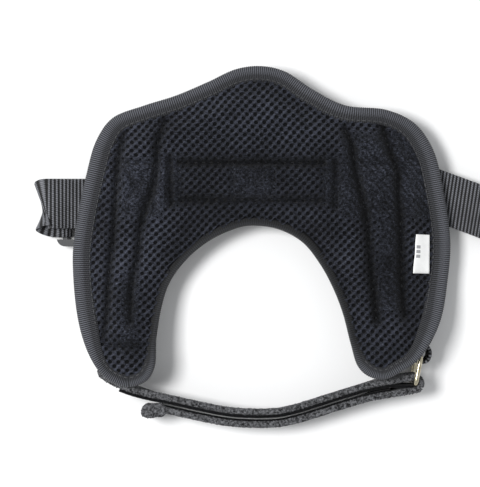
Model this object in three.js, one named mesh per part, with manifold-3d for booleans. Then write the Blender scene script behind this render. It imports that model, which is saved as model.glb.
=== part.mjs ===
// Padded harness breastplate, lining side up, with its girth straps, buckle and chest strap.
// Millimetres. +X right, +Y towards the rear of the harness, +Z up from the surface it lies on.
import * as THREE from 'three';
import { mergeVertices } from 'three/addons/utils/BufferGeometryUtils.js';
import Module from 'manifold-3d';

const wasm = await Module();
wasm.setup();

// ---------- driving dimensions ----------
const GAP = 0.3;                 // clearance between touching layers
const BACK_HEIGHT = 22;          // middle surface of the pad above the floor, at the back
const TIP_LIFT = 8;              // how much higher the two front tips lie
const SIDE_DROOP = 6;            // how far the side edges hang below the middle
const REAR_DROOP = 3;            // how far the rear edge hangs below the middle
const SHELL = 0.8;               // outer shell thickness
const LINING = 0.8;              // mesh lining thickness
const FOAM_EDGE = 0.6;           // foam thickness under the binding
const FOAM_PUFF = 6.2;           // extra foam thickness away from the edge
const PUFF_START = 9.5;           // distance from the edge where the foam starts to swell
const PUFF_END = 20;             // distance from the edge where it is full
const PAD_INSET = 2.5;           // pad layers stop this far inside the outline
const PAD_ROWS = 36;             // chords across the pad, tip to tip
const BINDING_LIP = 6;           // how far the binding laps over the pad
const BINDING_HALF = 3.4;        // half of the binding's height
const BINDING_WALL = 1.1;        // binding tape thickness, both folds
const BINDING_FOLD = 1.3;        // thickness of the binding at its outer fold

const WEB = 1.6;                 // thickness of the webbing
const GIRTH_WIDTH = 25;          // width of the girth webbing
const BAND_WIDTH = 18;           // width of the webbing sewn on the shell
const CROSS_WIDTH = 18;
const CROSS_Y = 22.5;            // centre line of the cross band and the handle
const CROSS_X = -4;              // their middle, left to right

const STRAP_WIDTH = 20;          // chest strap, standing on its edge
const STRAP_THICK = 2.8;
const STRAP_BASE = 2.7;          // lower edge of the chest strap
const STRAP_OFFSET = 3.05;       // each run from the middle of the pair
const TAPE_THICK = 0.9;
const TAPE_WIDTH = 17;
const TAPE_OFFSET = 0.95;
const TAB_THICK = 6.4;           // folded free end of the chest strap

const TIP_WIRE = 2.4;            // wire of the tip rings
const TIP_RING_TALL = 22.9;      // between the centres of the top and bottom bars
const LEASH_WIRE = 3.2;
const LEASH_HALF = 12;           // half width of the leash ring between wire centres
const LEASH_STRAIGHT = 8;        // straight part of its sides
const LEASH_TILT = 38;           // degrees below level, resting on the floor

// The outline of the pad, two rails that share the left and the right tip point.
const OUTER_RAIL = [
  [-62.4, -75.6], [-70.6, -73], [-76.1, -68.6], [-82.6, -57.6], [-87.8, -40.3], [-90.2, -15],
  [-88.3, 2.9], [-83.5, 25.9], [-78.7, 42.2], [-71, 52.8], [-55.7, 58.8], [-40.3, 63.6],
  [-25, 70.1], [-11.5, 76.3], [0, 77.8], [11.5, 75.4], [25, 66.7], [40.3, 59], [61.4, 56.6],
  [74.9, 49.9], [83.5, 37.4], [88.3, 18.2], [91.7, -5.8], [90.7, -22.6], [85.9, -45.1],
  [75.8, -61.9], [67.4, -68], [58.6, -72],
];
const NECK_RAIL = [
  [58.6, -72], [50.9, -70.1], [46.3, -65.5], [43.2, -55.5], [39.4, -40.3], [35, -28.8],
  [28.8, -17.3], [20.2, -6.7], [8.6, -0.5], [-4.3, 1.2], [-11.5, -0.2], [-23, -5.3],
  [-34.6, -14.4], [-43.2, -25.9], [-47, -37.4], [-49.4, -52.8], [-50.2, -66.2], [-54, -72.5],
];

// Middle line of the doubled chest strap, left to right.
const PAIR_LINE = [
  [-56, -82.7], [-43.2, -85.4], [-28.8, -88.6], [-14.4, -91.2], [0, -91.9], [9.6, -91.4],
  [19.2, -89.2], [38.4, -83.2], [57.6, -77.6], [71.5, -75],
];
const LEFT_BAR = [-73.5, -68.5];        // upright ring bar that the strap turns round, left
const LEFT_LOOP_BAR = [-70.5, -58.5];   // upright ring bar that the tip loop holds, left
const RIGHT_BAR = [74.3, -74.6];
const RIGHT_LOOP_BAR = [76.8, -61.5];

const LEFT_HINGE = [-91.5, 10, 11.8];   // where the left girth strap bends at the pad's edge
const RIGHT_HINGE = [97.2, 11.8, 11.3];
const RIGHT_TURN = -20;                 // degrees, direction of the right girth strap
const RUN_HEIGHT = 2.4;                 // centre of the lower run of the right strap on the floor
const RUN_DROP = 34;                    // length over which it comes down to the floor
const PLUG_AT = 104;                    // distance of the plug's bar from the hinge
const KEEPER_AT = 66;

// ---------- materials ----------
function material(color, roughness, metalness = 0) {
  return new THREE.MeshStandardMaterial({ color, roughness, metalness });
}
const LINING_MAT = material(0x22262f, 0.95);
const FOAM_MAT = material(0x3a3b40, 1);
const SHELL_MAT = material(0x1c1d22, 0.85);
const BINDING_MAT = material(0x4a4b51, 0.8);
const WEB_MAT = material(0x505155, 0.75);
const VELOUR_MAT = material(0x4a4b4e, 1);
const HOOK_MAT = material(0x202126, 0.6);
const LABEL_MAT = material(0xf2f1ef, 0.9);
const METAL_MAT = material(0xb9ad8e, 0.25, 1);
const PLASTIC_MAT = material(0x24272b, 0.4);

// ---------- small helpers ----------
const root = new THREE.Group();
const V = (x, y, z) => new THREE.Vector3(x, y, z);
const UP = V(0, 0, 1);

function smoothstep(low, high, value) {
  return THREE.MathUtils.smoothstep(value, low, high);
}

function addMesh(name, geometry, mat, parent = root) {
  const mesh = new THREE.Mesh(geometry, mat);
  mesh.name = name;
  parent.add(mesh);
  return mesh;
}

// A triangle mesh turned the right way out.
function closedGeometry(points, faces) {
  let volume = 0;
  for (const [a, b, c] of faces) {
    volume += points[a].dot(points[b].clone().cross(points[c]));
  }
  const geometry = new THREE.BufferGeometry();
  const index = faces.flatMap(([a, b, c]) => (volume > 0 ? [a, b, c] : [a, c, b]));
  const numbers = points.flatMap((p) => [p.x, p.y, p.z]);
  geometry.setAttribute('position', new THREE.Float32BufferAttribute(numbers, 3));
  geometry.setIndex(index);
  geometry.computeVertexNormals();
  return geometry;
}

// A solid through a row of outlines with the same number of points. An open row is capped by
// pairing point j with its opposite number, so the outline may be a long thin strip. The two
// halves of the outline split their quads alike, so that stacked layers stay parallel.
function loft(sections, closed = false) {
  const count = sections[0].length;
  const points = sections.flat();
  const faces = [];
  const steps = closed ? sections.length : sections.length - 1;
  for (let i = 0; i < steps; i += 1) {
    const here = i * count;
    const next = ((i + 1) % sections.length) * count;
    for (let j = 0; j < count; j += 1) {
      const k = (j + 1) % count;
      if (j < count / 2) {
        faces.push([here + j, next + j, next + k], [here + j, next + k, here + k]);
      } else {
        faces.push([here + j, next + j, here + k], [next + j, next + k, here + k]);
      }
    }
  }
  if (!closed) {
    const last = (sections.length - 1) * count;
    for (let j = 0; j < count / 2 - 1; j += 1) {
      const opposite = count - 1 - j;
      faces.push([j, j + 1, opposite - 1], [j, opposite - 1, opposite]);
      faces.push([last + j, last + opposite - 1, last + j + 1]);
      faces.push([last + j, last + opposite, last + opposite - 1]);
    }
  }
  return closedGeometry(points, faces);
}

function tangents(path) {
  return path.map((point, i) => {
    const before = path[Math.max(i - 1, 0)];
    const after = path[Math.min(i + 1, path.length - 1)];
    return after.clone().sub(before).normalize();
  });
}

// A flat band along a path. side(i) is the direction of its width, thick(i) its thickness.
function ribbon(path, width, side, thick) {
  const along = tangents(path);
  const sections = path.map((point, i) => {
    const across = side(i).clone().normalize();
    const normal = across.clone().cross(along[i]).normalize();
    const half = thick(i) / 2;
    return [[1, 1], [1, -1], [-1, -1], [-1, 1]].map(([a, b]) => (
      point.clone().addScaledVector(across, a * width / 2).addScaledVector(normal, b * half)));
  });
  return loft(sections);
}

// A round wire along a closed or open path that lies in the plane with the given normal.
function wire(path, diameter, planeNormal, closed = true, sides = 8) {
  const count = path.length;
  const sections = path.map((point, i) => {
    const before = path[closed ? (i + count - 1) % count : Math.max(i - 1, 0)];
    const after = path[closed ? (i + 1) % count : Math.min(i + 1, count - 1)];
    const out = after.clone().sub(before).normalize().cross(planeNormal).normalize();
    return Array.from({ length: sides }, (_, j) => {
      const angle = (j + 0.5) * 2 * Math.PI / sides;
      return point.clone()
        .addScaledVector(out, Math.cos(angle) * diameter / 2)
        .addScaledVector(planeNormal, Math.sin(angle) * diameter / 2);
    });
  });
  return loft(sections, closed);
}

// Points of an arc in a plane, with u and v the plane's own directions.
function arc(centre, u, v, radius, from, to, steps) {
  return Array.from({ length: steps + 1 }, (_, i) => {
    const angle = THREE.MathUtils.degToRad(from + (to - from) * i / steps);
    const point = centre.clone().addScaledVector(u, radius * Math.cos(angle));
    return point.addScaledVector(v, radius * Math.sin(angle));
  });
}

// ---------- the pad ----------
const outline = new THREE.CatmullRomCurve3(
  [...OUTER_RAIL, ...NECK_RAIL.slice(1)].map(([x, y]) => V(x, y, 0)), true, 'centripetal');
outline.arcLengthDivisions = 800;
const OUTLINE_POINTS = outline.getSpacedPoints(360);
const OUTLINE_LENGTH = outline.getLength();

// Share of the outline's length at which the right tip lies.
function tipShare() {
  const lengths = outline.getLengths(800);
  const total = OUTER_RAIL.length + NECK_RAIL.length - 1;
  return lengths[Math.round(800 * (OUTER_RAIL.length - 1) / total)] / OUTLINE_LENGTH;
}
const TIP_SHARE = tipShare();

function edgeDistance(x, y) {
  return Math.min(...OUTLINE_POINTS.map((p) => Math.hypot(p.x - x, p.y - y)));
}

// Height of the pad's middle surface.
function padHeight(x, y) {
  const lift = smoothstep(20, 70, -y);
  const side = SIDE_DROOP * (Math.abs(x) / 90) ** 3;
  const rear = REAR_DROOP * (Math.max(y, 0) / 78) ** 3;
  return BACK_HEIGHT + TIP_LIFT * lift - (side + rear) * (1 - lift);
}

function puff(x, y) {
  return FOAM_PUFF * smoothstep(PUFF_START, PUFF_END, edgeDistance(x, y));
}

// A point of the outline moved inwards. The outline runs clockwise, so the inside is on its right.
function outlinePoint(share, inset) {
  const point = outline.getPointAt(share);
  const along = outline.getTangentAt(share);
  return point.add(V(along.y, -along.x, 0).multiplyScalar(inset));
}

// Chords across the pad from the neck edge to the outer edge, closer together at the tips.
function padRows() {
  const rows = [];
  for (let i = 1; i < PAD_ROWS; i += 1) {
    const even = i / PAD_ROWS;
    const eased = (1 - Math.cos(Math.PI * even)) / 2;
    const u = 0.6 * even + 0.4 * eased;
    const outer = outlinePoint(TIP_SHARE * u, PAD_INSET);
    const neck = outlinePoint(1 - (1 - TIP_SHARE) * u, PAD_INSET);
    const length = outer.distanceTo(neck);
    const near = Math.min(PUFF_START - PAD_INSET, length * 0.25);
    const far = Math.min(14, length * 0.4);
    const stops = [0, near, far, length / 2, length - far, length - near, length];
    rows.push(stops.map((stop) => neck.clone().lerp(outer, stop / length)));
  }
  return rows;
}
const ROWS = padRows();

// One layer of the pad between two height functions.
function padLayer(low, high) {
  const sections = ROWS.map((row) => {
    const top = row.map((p) => V(p.x, p.y, high(p.x, p.y)));
    const bottom = row.map((p) => V(p.x, p.y, low(p.x, p.y)));
    return [...top, ...bottom.reverse()];
  });
  return loft(sections);
}

function addPad() {
  const foamLow = -FOAM_EDGE / 2;
  const foamHigh = FOAM_EDGE / 2;
  addMesh('outer_shell', padLayer(
    (x, y) => padHeight(x, y) + foamLow - GAP - SHELL,
    (x, y) => padHeight(x, y) + foamLow - GAP), SHELL_MAT);
  addMesh('foam_padding', padLayer(
    (x, y) => padHeight(x, y) + foamLow,
    (x, y) => padHeight(x, y) + foamHigh + puff(x, y)), FOAM_MAT);
  addMesh('mesh_lining', padLayer(
    (x, y) => padHeight(x, y) + foamHigh + GAP + puff(x, y),
    (x, y) => padHeight(x, y) + foamHigh + GAP + LINING + puff(x, y)), LINING_MAT);
}

// The binding is a U-shaped tape that grips the edge all the way round.
function addBinding() {
  const inner = BINDING_HALF - BINDING_WALL;
  const profile = [
    [-BINDING_LIP, BINDING_HALF], [-0.7, BINDING_HALF - 0.3], [0, 0], [-0.7, 0.3 - BINDING_HALF],
    [-BINDING_LIP, -BINDING_HALF], [-BINDING_LIP, -inner], [-BINDING_FOLD, -inner],
    [-BINDING_FOLD, inner], [-BINDING_LIP, inner],
  ];
  const count = 96;
  const sections = Array.from({ length: count }, (_, i) => (
    profile.map(([out, up]) => {
      const point = outlinePoint(i / count, -out);
      return V(point.x, point.y, padHeight(point.x, point.y) + up);
    })));
  addMesh('edge_binding', loft(sections, true), BINDING_MAT);
}

function addLabel() {
  const path = [-3, -7.5, -12.5, -17.5, -21.5].map((y) => {
    const x = 77 + (y + 12.5) * 0.06;
    return V(x, y, padHeight(x, y) + FOAM_PUFF + 2.6);
  });
  addMesh('size_label', ribbon(path, 7.5, () => V(1, 0, -0.32), () => 0.6), LABEL_MAT);
}

// ---------- webbing sewn to the shell ----------
const SEWN_DEPTH = FOAM_EDGE / 2 + GAP + SHELL + GAP + 0.1 + WEB / 2;

// A band that follows the underside of the pad along a line seen from above.
function sewnBand(line, width) {
  const curve = new THREE.CatmullRomCurve3(line.map(([x, y]) => V(x, y, 0)));
  const flat = curve.getSpacedPoints(14);
  const along = tangents(flat);
  const under = (x, y) => padHeight(x, y) - SEWN_DEPTH;
  const path = flat.map((p) => V(p.x, p.y, under(p.x, p.y)));
  const side = (i) => {
    const across = V(-along[i].y, along[i].x, 0);
    const reach = width / 2;
    const left = flat[i].clone().addScaledVector(across, reach);
    const right = flat[i].clone().addScaledVector(across, -reach);
    return V(left.x - right.x, left.y - right.y, under(left.x, left.y) - under(right.x, right.y));
  };
  return ribbon(path, width, side, () => WEB);
}

function addSewnBands() {
  const left = [[-56.2, 45.6], [-61.9, 12.5], [-65.5, -14.9], [-67, -40.3], [-66.5, -56]];
  const right = [[50.2, 45.5], [56.9, 17.3], [59.8, -14.9], [61.9, -40.3], [62.5, -56]];
  addMesh('left_leg_webbing', sewnBand(left, BAND_WIDTH), WEB_MAT);
  addMesh('right_leg_webbing', sewnBand(right, BAND_WIDTH), WEB_MAT);
  addMesh('cross_webbing', sewnBand([[CROSS_X - 42, CROSS_Y], [CROSS_X, CROSS_Y], [CROSS_X + 42, CROSS_Y]],
    CROSS_WIDTH), WEB_MAT);
}

// The handle hangs from its two sewn ends and is flat in the middle, where it meets the floor.
function addHandle() {
  const half = 37;
  const thick = 2.6;
  const low = thick / 2;
  const high = padHeight(CROSS_X - half, CROSS_Y) - SEWN_DEPTH - WEB / 2 - GAP - thick / 2 - 0.2;
  const steps = 22;
  const path = Array.from({ length: steps + 1 }, (_, i) => {
    const reach = -half + 2 * half * i / steps;
    const rise = smoothstep(11, 31, Math.abs(reach));
    return V(CROSS_X + reach, CROSS_Y, low + (high - low) * rise);
  });
  addMesh('handle', ribbon(path, CROSS_WIDTH, () => V(0, 1, 0), () => thick), WEB_MAT);
}

// ---------- leash ring ----------
const LEASH_PIVOT = V(CROSS_X, 38, 14.4);
const LEASH_BEND = LEASH_WIRE / 2 + 0.4 + WEB / 2;

function addLeashRing() {
  const tilt = THREE.MathUtils.degToRad(LEASH_TILT);
  const depth = V(0, Math.cos(tilt), -Math.sin(tilt));
  const across = V(1, 0, 0);
  const place = (x, d) => LEASH_PIVOT.clone().addScaledVector(across, x).addScaledVector(depth, d);
  const bow = arc(place(0, LEASH_STRAIGHT), across, depth, LEASH_HALF, 0, 180, 12);
  const corner = 1.6;
  const path = [
    place(-LEASH_HALF + corner, 0), place(0, 0), place(LEASH_HALF - corner, 0),
    place(LEASH_HALF - 0.3, corner * 0.6), place(LEASH_HALF, corner * 1.6), ...bow,
    place(-LEASH_HALF, corner * 1.6), place(-LEASH_HALF + 0.3, corner * 0.6),
  ];
  addMesh('leash_ring', wire(path, LEASH_WIRE, across.clone().cross(depth).normalize()), METAL_MAT);
}

function addLeashLoop() {
  const y = V(0, 1, 0);
  const top = LEASH_PIVOT.z + LEASH_BEND;
  const turn = arc(LEASH_PIVOT, y, UP, LEASH_BEND, 90, -90, 8);
  const path = [
    V(CROSS_X, 15, top), V(CROSS_X, 26, top), ...turn,
    V(CROSS_X, 33.5, LEASH_PIVOT.z - LEASH_BEND + 0.6), V(CROSS_X, 28, top - WEB - 1.0),
    V(CROSS_X, 24, top - WEB - 0.5), V(CROSS_X, 15, top - WEB - 0.5),
  ];
  addMesh('leash_ring_loop', ribbon(path, 18, () => V(1, 0, 0), () => WEB), WEB_MAT);
}

// ---------- chest strap and the rings at the tips ----------
const PAIR_CURVE = new THREE.CatmullRomCurve3(PAIR_LINE.map(([x, y]) => V(x, y, 0)));
PAIR_CURVE.arcLengthDivisions = 400;
const STRAP_MIDDLE = STRAP_BASE + STRAP_WIDTH / 2;
const RING_MIDDLE = STRAP_MIDDLE + 0.05;

// The pair's middle line moved sideways, positive towards the pad, between two shares.
function pairRun(offset, from, to, steps, height = STRAP_MIDDLE) {
  return Array.from({ length: steps + 1 }, (_, i) => {
    const share = from + (to - from) * i / steps;
    const point = PAIR_CURVE.getPointAt(share);
    const along = PAIR_CURVE.getTangentAt(share);
    return V(point.x - along.y * offset, point.y + along.x * offset, height);
  });
}

function upright(path, width, thick) {
  return ribbon(path, width, () => UP, thick);
}

function addChestStrap() {
  const x = V(1, 0, 0);
  const y = V(0, 1, 0);
  const left = V(...LEFT_BAR, STRAP_MIDDLE);
  const right = V(...RIGHT_BAR, STRAP_MIDDLE);
  const leftTurn = arc(left, x, y, STRAP_OFFSET, 50, 245, 9);
  const rightTurn = arc(right, x, y, STRAP_OFFSET, 92, -62, 9);
  const path = [
    V(-63.5, -72.2, STRAP_MIDDLE), V(-68, -69, STRAP_MIDDLE), ...leftTurn,
    V(-68.5, -74.8, STRAP_MIDDLE), ...pairRun(STRAP_OFFSET, 0.03, 0.97, 22), ...rightTurn,
  ];
  addMesh('chest_strap', upright(path, STRAP_WIDTH, () => STRAP_THICK), VELOUR_MAT);
  const line = pairRun(TAPE_OFFSET, 0.08, 0.94, 20);
  addMesh('chest_loop_tape', upright(line, TAPE_WIDTH, () => TAPE_THICK), HOOK_MAT);
}

// The tail turns about its own right end, which opens the fastener.
function addChestTail() {
  const path = pairRun(-STRAP_OFFSET, 0.985, -0.0, 26);
  const folded = path.length - 3;
  path.forEach((point, i) => {
    if (i >= folded) {
      point.y -= (TAB_THICK - STRAP_THICK) / 2;
    }
  });
  const thick = (i) => (i >= folded ? TAB_THICK : STRAP_THICK);
  addMesh('chest_strap_tail', upright(path, STRAP_WIDTH, thick), VELOUR_MAT);
  const hookLine = pairRun(-TAPE_OFFSET, 0.12, 0.80, 18);
  addMesh('chest_hook_tape', upright(hookLine, TAPE_WIDTH, () => TAPE_THICK), HOOK_MAT);
}

// An upright ring whose two upright bars stand at the given places.
function tipRing(loopBar, strapBar) {
  const a = V(...loopBar, RING_MIDDLE);
  const b = V(...strapBar, RING_MIDDLE);
  const along = b.clone().sub(a).normalize();
  const deep = a.distanceTo(b);
  const tall = TIP_RING_TALL / 2;
  const bend = 2;
  const corners = [[0, -tall, 180], [deep, -tall, 270], [deep, tall, 0], [0, tall, 90]];
  const path = corners.flatMap(([out, up, start]) => {
    const centre = a.clone().addScaledVector(along, out + (out ? -bend : bend));
    centre.addScaledVector(UP, up + (up > 0 ? -bend : bend));
    return arc(centre, along, UP, bend, start, start + 90, 3);
  });
  return wire(path, TIP_WIRE, along.clone().cross(UP).normalize());
}

// The loop of webbing that ties a ring to the pad: a flat end and an open eye round the bar.
function tipLoop(bar, inward) {
  const centre = V(...bar, STRAP_MIDDLE);
  const u = V(inward[0], inward[1], 0).normalize();
  const v = V(-u.y, u.x, 0);
  const eye = 4.5;
  const place = (out, aside) => centre.clone().addScaledVector(u, out).addScaledVector(v, aside);
  const turn = arc(centre, u, v, eye, 70, 290, 10);
  const first = [place(12, 1.0), place(9, 1.0), place(5.5, 2.8)];
  const last = [place(5.5, -2.8), place(9, -1.0), place(12, -1.0)];
  const path = [...first, ...turn, ...last];
  return upright(path, STRAP_WIDTH - 2, () => WEB);
}

function addTips() {
  addMesh('left_tip_ring', tipRing(LEFT_LOOP_BAR, LEFT_BAR), METAL_MAT);
  addMesh('right_tip_ring', tipRing(RIGHT_LOOP_BAR, RIGHT_BAR), METAL_MAT);
  addMesh('left_tip_loop', tipLoop(LEFT_LOOP_BAR, [0.35, 1]), WEB_MAT);
  addMesh('right_tip_loop', tipLoop(RIGHT_LOOP_BAR, [-0.75, 1]), WEB_MAT);
}

// ---------- solids joined and cut ----------
function toSolid(geometry) {
  const bare = geometry.clone();
  bare.deleteAttribute('normal');
  bare.deleteAttribute('uv');
  const merged = mergeVertices(bare, 1e-4);
  return new wasm.Manifold(new wasm.Mesh({
    numProp: 3,
    vertProperties: new Float32Array(merged.attributes.position.array),
    triVerts: new Uint32Array(merged.index.array),
  }));
}

function fromSolid(solid) {
  const mesh = solid.getMesh();
  const geometry = new THREE.BufferGeometry();
  geometry.setAttribute('position', new THREE.BufferAttribute(new Float32Array(mesh.vertProperties), 3));
  geometry.setIndex(new THREE.BufferAttribute(new Uint32Array(mesh.triVerts), 1));
  geometry.computeVertexNormals();
  return geometry;
}

function block(x0, x1, y0, y1, z0, z1) {
  const geometry = new THREE.BoxGeometry(x1 - x0, y1 - y0, z1 - z0);
  geometry.translate((x0 + x1) / 2, (y0 + y1) / 2, (z0 + z1) / 2);
  return toSolid(geometry);
}

// A plate with rounded corners, seen from above, between two heights.
function plate(x0, x1, y0, y1, z0, z1, radius) {
  const shape = new THREE.Shape();
  const corners = [[x1, y1, 0], [x0, y1, 90], [x0, y0, 180], [x1, y0, 270]];
  corners.forEach(([x, y, start]) => {
    const a = THREE.MathUtils.degToRad(start);
    const cx = x - Math.sign(x - (x0 + x1) / 2) * radius;
    const cy = y - Math.sign(y - (y0 + y1) / 2) * radius;
    shape.absarc(cx, cy, radius, a, a + Math.PI / 2, false);
  });
  const options = { depth: z1 - z0, bevelEnabled: false, curveSegments: 4 };
  const geometry = new THREE.ExtrudeGeometry(shape, options);
  geometry.translate(0, 0, z0);
  return toSolid(geometry);
}

// ---------- left girth strap and buckle socket ----------
const BAR_BEND = 2.6;             // webbing centre from the centre of a buckle bar
const BAR_HALF = 1.1;             // half of a buckle bar's width and height
const SOCKET = { x0: -98.6, x1: -68, y: 7.6, half: 16.4, low: 0.2, high: 9.4 };
const SOCKET_BAR = V(-94.9, 7.6, 4.8);

function addSocket() {
  const { x0, x1, y, half, low, high } = SOCKET;
  const throat = x0 + 10;
  let solid = plate(x0, x1, y - half, y + half, low, high, 4);
  solid = solid.subtract(block(throat + 2.5, x1 + 1, y - 12, y + 12, 2.1, 7.5));
  solid = solid.subtract(block(throat + 5, throat + 15, y - half - 1, y - 9, 2.1, 7.5));
  solid = solid.subtract(block(throat + 5, throat + 15, y + 9, y + half + 1, 2.1, 7.5));
  solid = solid.subtract(block(SOCKET_BAR.x + BAR_HALF, throat, y - 13, y + 13, low - 1, high + 1));
  solid = solid.subtract(block(x0 - 1, throat, y - 13, y + 13, SOCKET_BAR.z + BAR_HALF, high + 1));
  solid = solid.subtract(block(x0 - 1, throat, y - 13, y + 13, low - 1, SOCKET_BAR.z - BAR_HALF));
  solid = solid.subtract(block(x0 - 1, SOCKET_BAR.x - BAR_HALF, y - 13, y + 13, low - 1, high + 1));
  addMesh('buckle_socket', fromSolid(solid), PLASTIC_MAT);
}

function addLeftStrap() {
  const anchorLine = [[-71, 14.4], [-78, 13.2], [-84, 11.6], [-90.6, 11.4]];
  const anchor = anchorLine.map(([x, z]) => V(x, LEFT_HINGE[1], z));
  addMesh('left_strap_anchor', ribbon(anchor, GIRTH_WIDTH - 1, () => V(0.1, 1, 0), () => WEB), WEB_MAT);
  const x = V(1, 0, 0);
  const bar = SOCKET_BAR;
  const start = LEFT_HINGE[1];
  const steps = [
    [-91.5, 11.4, 0.1], [-94.5, 12.6, -0.05], [-98, 13.9, -0.18], [-101, 14.1, -0.22], [-103.6, 13.2, -0.22],
    [-104.9, 11.4, -0.22], [-104.3, 9.4, -0.22], [-102, 8.2, -0.18], [-98.5, 7.6, -0.08],
  ];
  const path = steps.map(([px, pz], i) => V(px, start - 2.4 * i / (steps.length - 1), pz));
  const turn = arc(bar, x, UP, BAR_BEND, 95, -95, 8);
  const tail = [V(-98.8, bar.y, 2.6), V(-101.5, bar.y, 3.2)];
  const all = [...path, ...turn, ...tail];
  const side = (i) => V(i < steps.length ? steps[i][2] : 0, 1, 0);
  addMesh('left_girth_strap', ribbon(all, GIRTH_WIDTH - 1, side, () => WEB), WEB_MAT);
}

// ---------- right girth strap, keeper and buckle plug ----------
const rightArm = new THREE.Group();
rightArm.position.set(RIGHT_HINGE[0], RIGHT_HINGE[1], 0);
rightArm.rotation.z = THREE.MathUtils.degToRad(RIGHT_TURN);
root.add(rightArm);
const PLUG_BAR_Z = RUN_HEIGHT + BAR_BEND;

function addRightStrap() {
  const turn = THREE.MathUtils.degToRad(RIGHT_TURN);
  const inner = [-27, -18, -9, -0.9].map((s) => {
    const x = RIGHT_HINGE[0] + s * Math.cos(turn);
    const y = RIGHT_HINGE[1] + s * Math.sin(turn);
    return V(x, y, RIGHT_HINGE[2] + 2.6 * smoothstep(6, 27, -s));
  });
  const side = () => V(-Math.sin(turn), Math.cos(turn), 0);
  addMesh('right_strap_anchor', ribbon(inner, GIRTH_WIDTH - 1, side, () => WEB), WEB_MAT);
  const lower = [];
  for (let s = 0; s <= RUN_DROP; s += RUN_DROP / 8) {
    lower.push(V(s, 0, RIGHT_HINGE[2] + (RUN_HEIGHT - RIGHT_HINGE[2]) * smoothstep(0, RUN_DROP, s)));
  }
  const bar = V(PLUG_AT, 0, PLUG_BAR_Z);
  const back = arc(bar, V(1, 0, 0), UP, BAR_BEND, -90, 90, 8);
  const top = RUN_HEIGHT + WEB + GAP + 0.3;
  const path = [...lower, V(60, 0, RUN_HEIGHT), V(PLUG_AT - 6, 0, RUN_HEIGHT), ...back,
    V(PLUG_AT - 4, 0, PLUG_BAR_Z + BAR_BEND - 0.6), V(PLUG_AT - 10, 0, top + 0.6),
    V(PLUG_AT - 16, 0, top), V(46, 0, top)];
  addMesh('right_girth_strap', ribbon(path, GIRTH_WIDTH, () => V(0, 1, 0), () => WEB), WEB_MAT, rightArm);
}

function addKeeper() {
  const half = GIRTH_WIDTH / 2;
  const width = 4;
  const outer = block(-width, width, -half - 2, half + 2, 0.1, 7.0);
  const window = block(-width - 1, width + 1, -half - 0.6, half + 0.6, 1.2, 5.9);
  const mesh = addMesh('strap_keeper', fromSolid(outer.subtract(window)), PLASTIC_MAT, rightArm);
  mesh.position.x = KEEPER_AT;
}

function addPlug() {
  const z0 = 0.2;
  const z1 = 8.2;
  const x0 = PLUG_AT - 3.5;
  const neck = PLUG_AT + 5;
  const body = neck + 9;
  const tip = body + 17;
  let solid = plate(x0, body, -15.5, 15.5, z0, z1, 3);
  solid = solid.subtract(block(PLUG_AT + BAR_HALF, neck, -13, 13, 0, 10));
  solid = solid.subtract(block(x0 - 1, PLUG_AT - BAR_HALF, -13, 13, 0, 10));
  solid = solid.subtract(block(x0 - 1, neck, -13, 13, PLUG_BAR_Z + BAR_HALF, 10));
  solid = solid.subtract(block(x0 - 1, neck, -13, 13, 0, PLUG_BAR_Z - BAR_HALF));
  for (const side of [-1, 1]) {
    const a = side * 7.4;
    const b = side * 11.4;
    const c = side * 13.6;
    solid = solid.add(block(body - 1, tip, Math.min(a, b), Math.max(a, b), 2.4, 7.2));
    solid = solid.add(block(tip - 7, tip - 3, Math.min(a, c), Math.max(a, c), 2.4, 7.2));
  }
  solid = solid.add(plate(body - 2, tip - 1, -2.4, 2.4, 2.9, 6.7, 1.5));
  addMesh('buckle_plug', fromSolid(solid), PLASTIC_MAT, rightArm);
}

// ---------- the whole part ----------
addPad();
addBinding();
addLabel();
addSewnBands();
addHandle();
addLeashRing();
addLeashLoop();
addChestStrap();
addChestTail();
addTips();
addSocket();
addLeftStrap();
addRightStrap();
addKeeper();
addPlug();

// The part's origin is the centre of its footprint, on the surface it lies on.
root.updateMatrixWorld(true);
const bounds = new THREE.Box3().setFromObject(root, true);
const middle = bounds.getCenter(V(0, 0, 0));
root.position.set(-middle.x, -middle.y, -bounds.min.z);
root.updateMatrixWorld(true);

export default root;
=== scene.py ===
"""Padded harness breastplate, lining side up, with its girth straps, buckle and chest strap."""
import math

import bpy
import numpy as np
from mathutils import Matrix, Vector, kdtree


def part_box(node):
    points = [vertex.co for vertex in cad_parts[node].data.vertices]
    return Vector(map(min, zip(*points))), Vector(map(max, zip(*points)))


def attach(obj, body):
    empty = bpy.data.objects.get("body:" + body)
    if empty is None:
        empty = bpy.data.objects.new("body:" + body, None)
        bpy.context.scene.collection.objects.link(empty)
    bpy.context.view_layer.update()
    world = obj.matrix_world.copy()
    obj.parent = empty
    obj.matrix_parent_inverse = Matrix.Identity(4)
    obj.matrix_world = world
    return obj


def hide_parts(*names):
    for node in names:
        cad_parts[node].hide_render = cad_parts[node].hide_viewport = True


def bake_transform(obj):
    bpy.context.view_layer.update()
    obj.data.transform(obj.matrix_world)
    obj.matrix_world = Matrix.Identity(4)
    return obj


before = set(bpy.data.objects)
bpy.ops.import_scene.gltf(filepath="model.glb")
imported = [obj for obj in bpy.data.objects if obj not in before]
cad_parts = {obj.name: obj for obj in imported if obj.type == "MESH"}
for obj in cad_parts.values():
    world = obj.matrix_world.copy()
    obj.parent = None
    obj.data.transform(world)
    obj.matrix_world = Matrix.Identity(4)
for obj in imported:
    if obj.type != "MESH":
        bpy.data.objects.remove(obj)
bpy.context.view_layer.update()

rng = np.random.default_rng(7)
scene = bpy.context.scene

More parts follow.
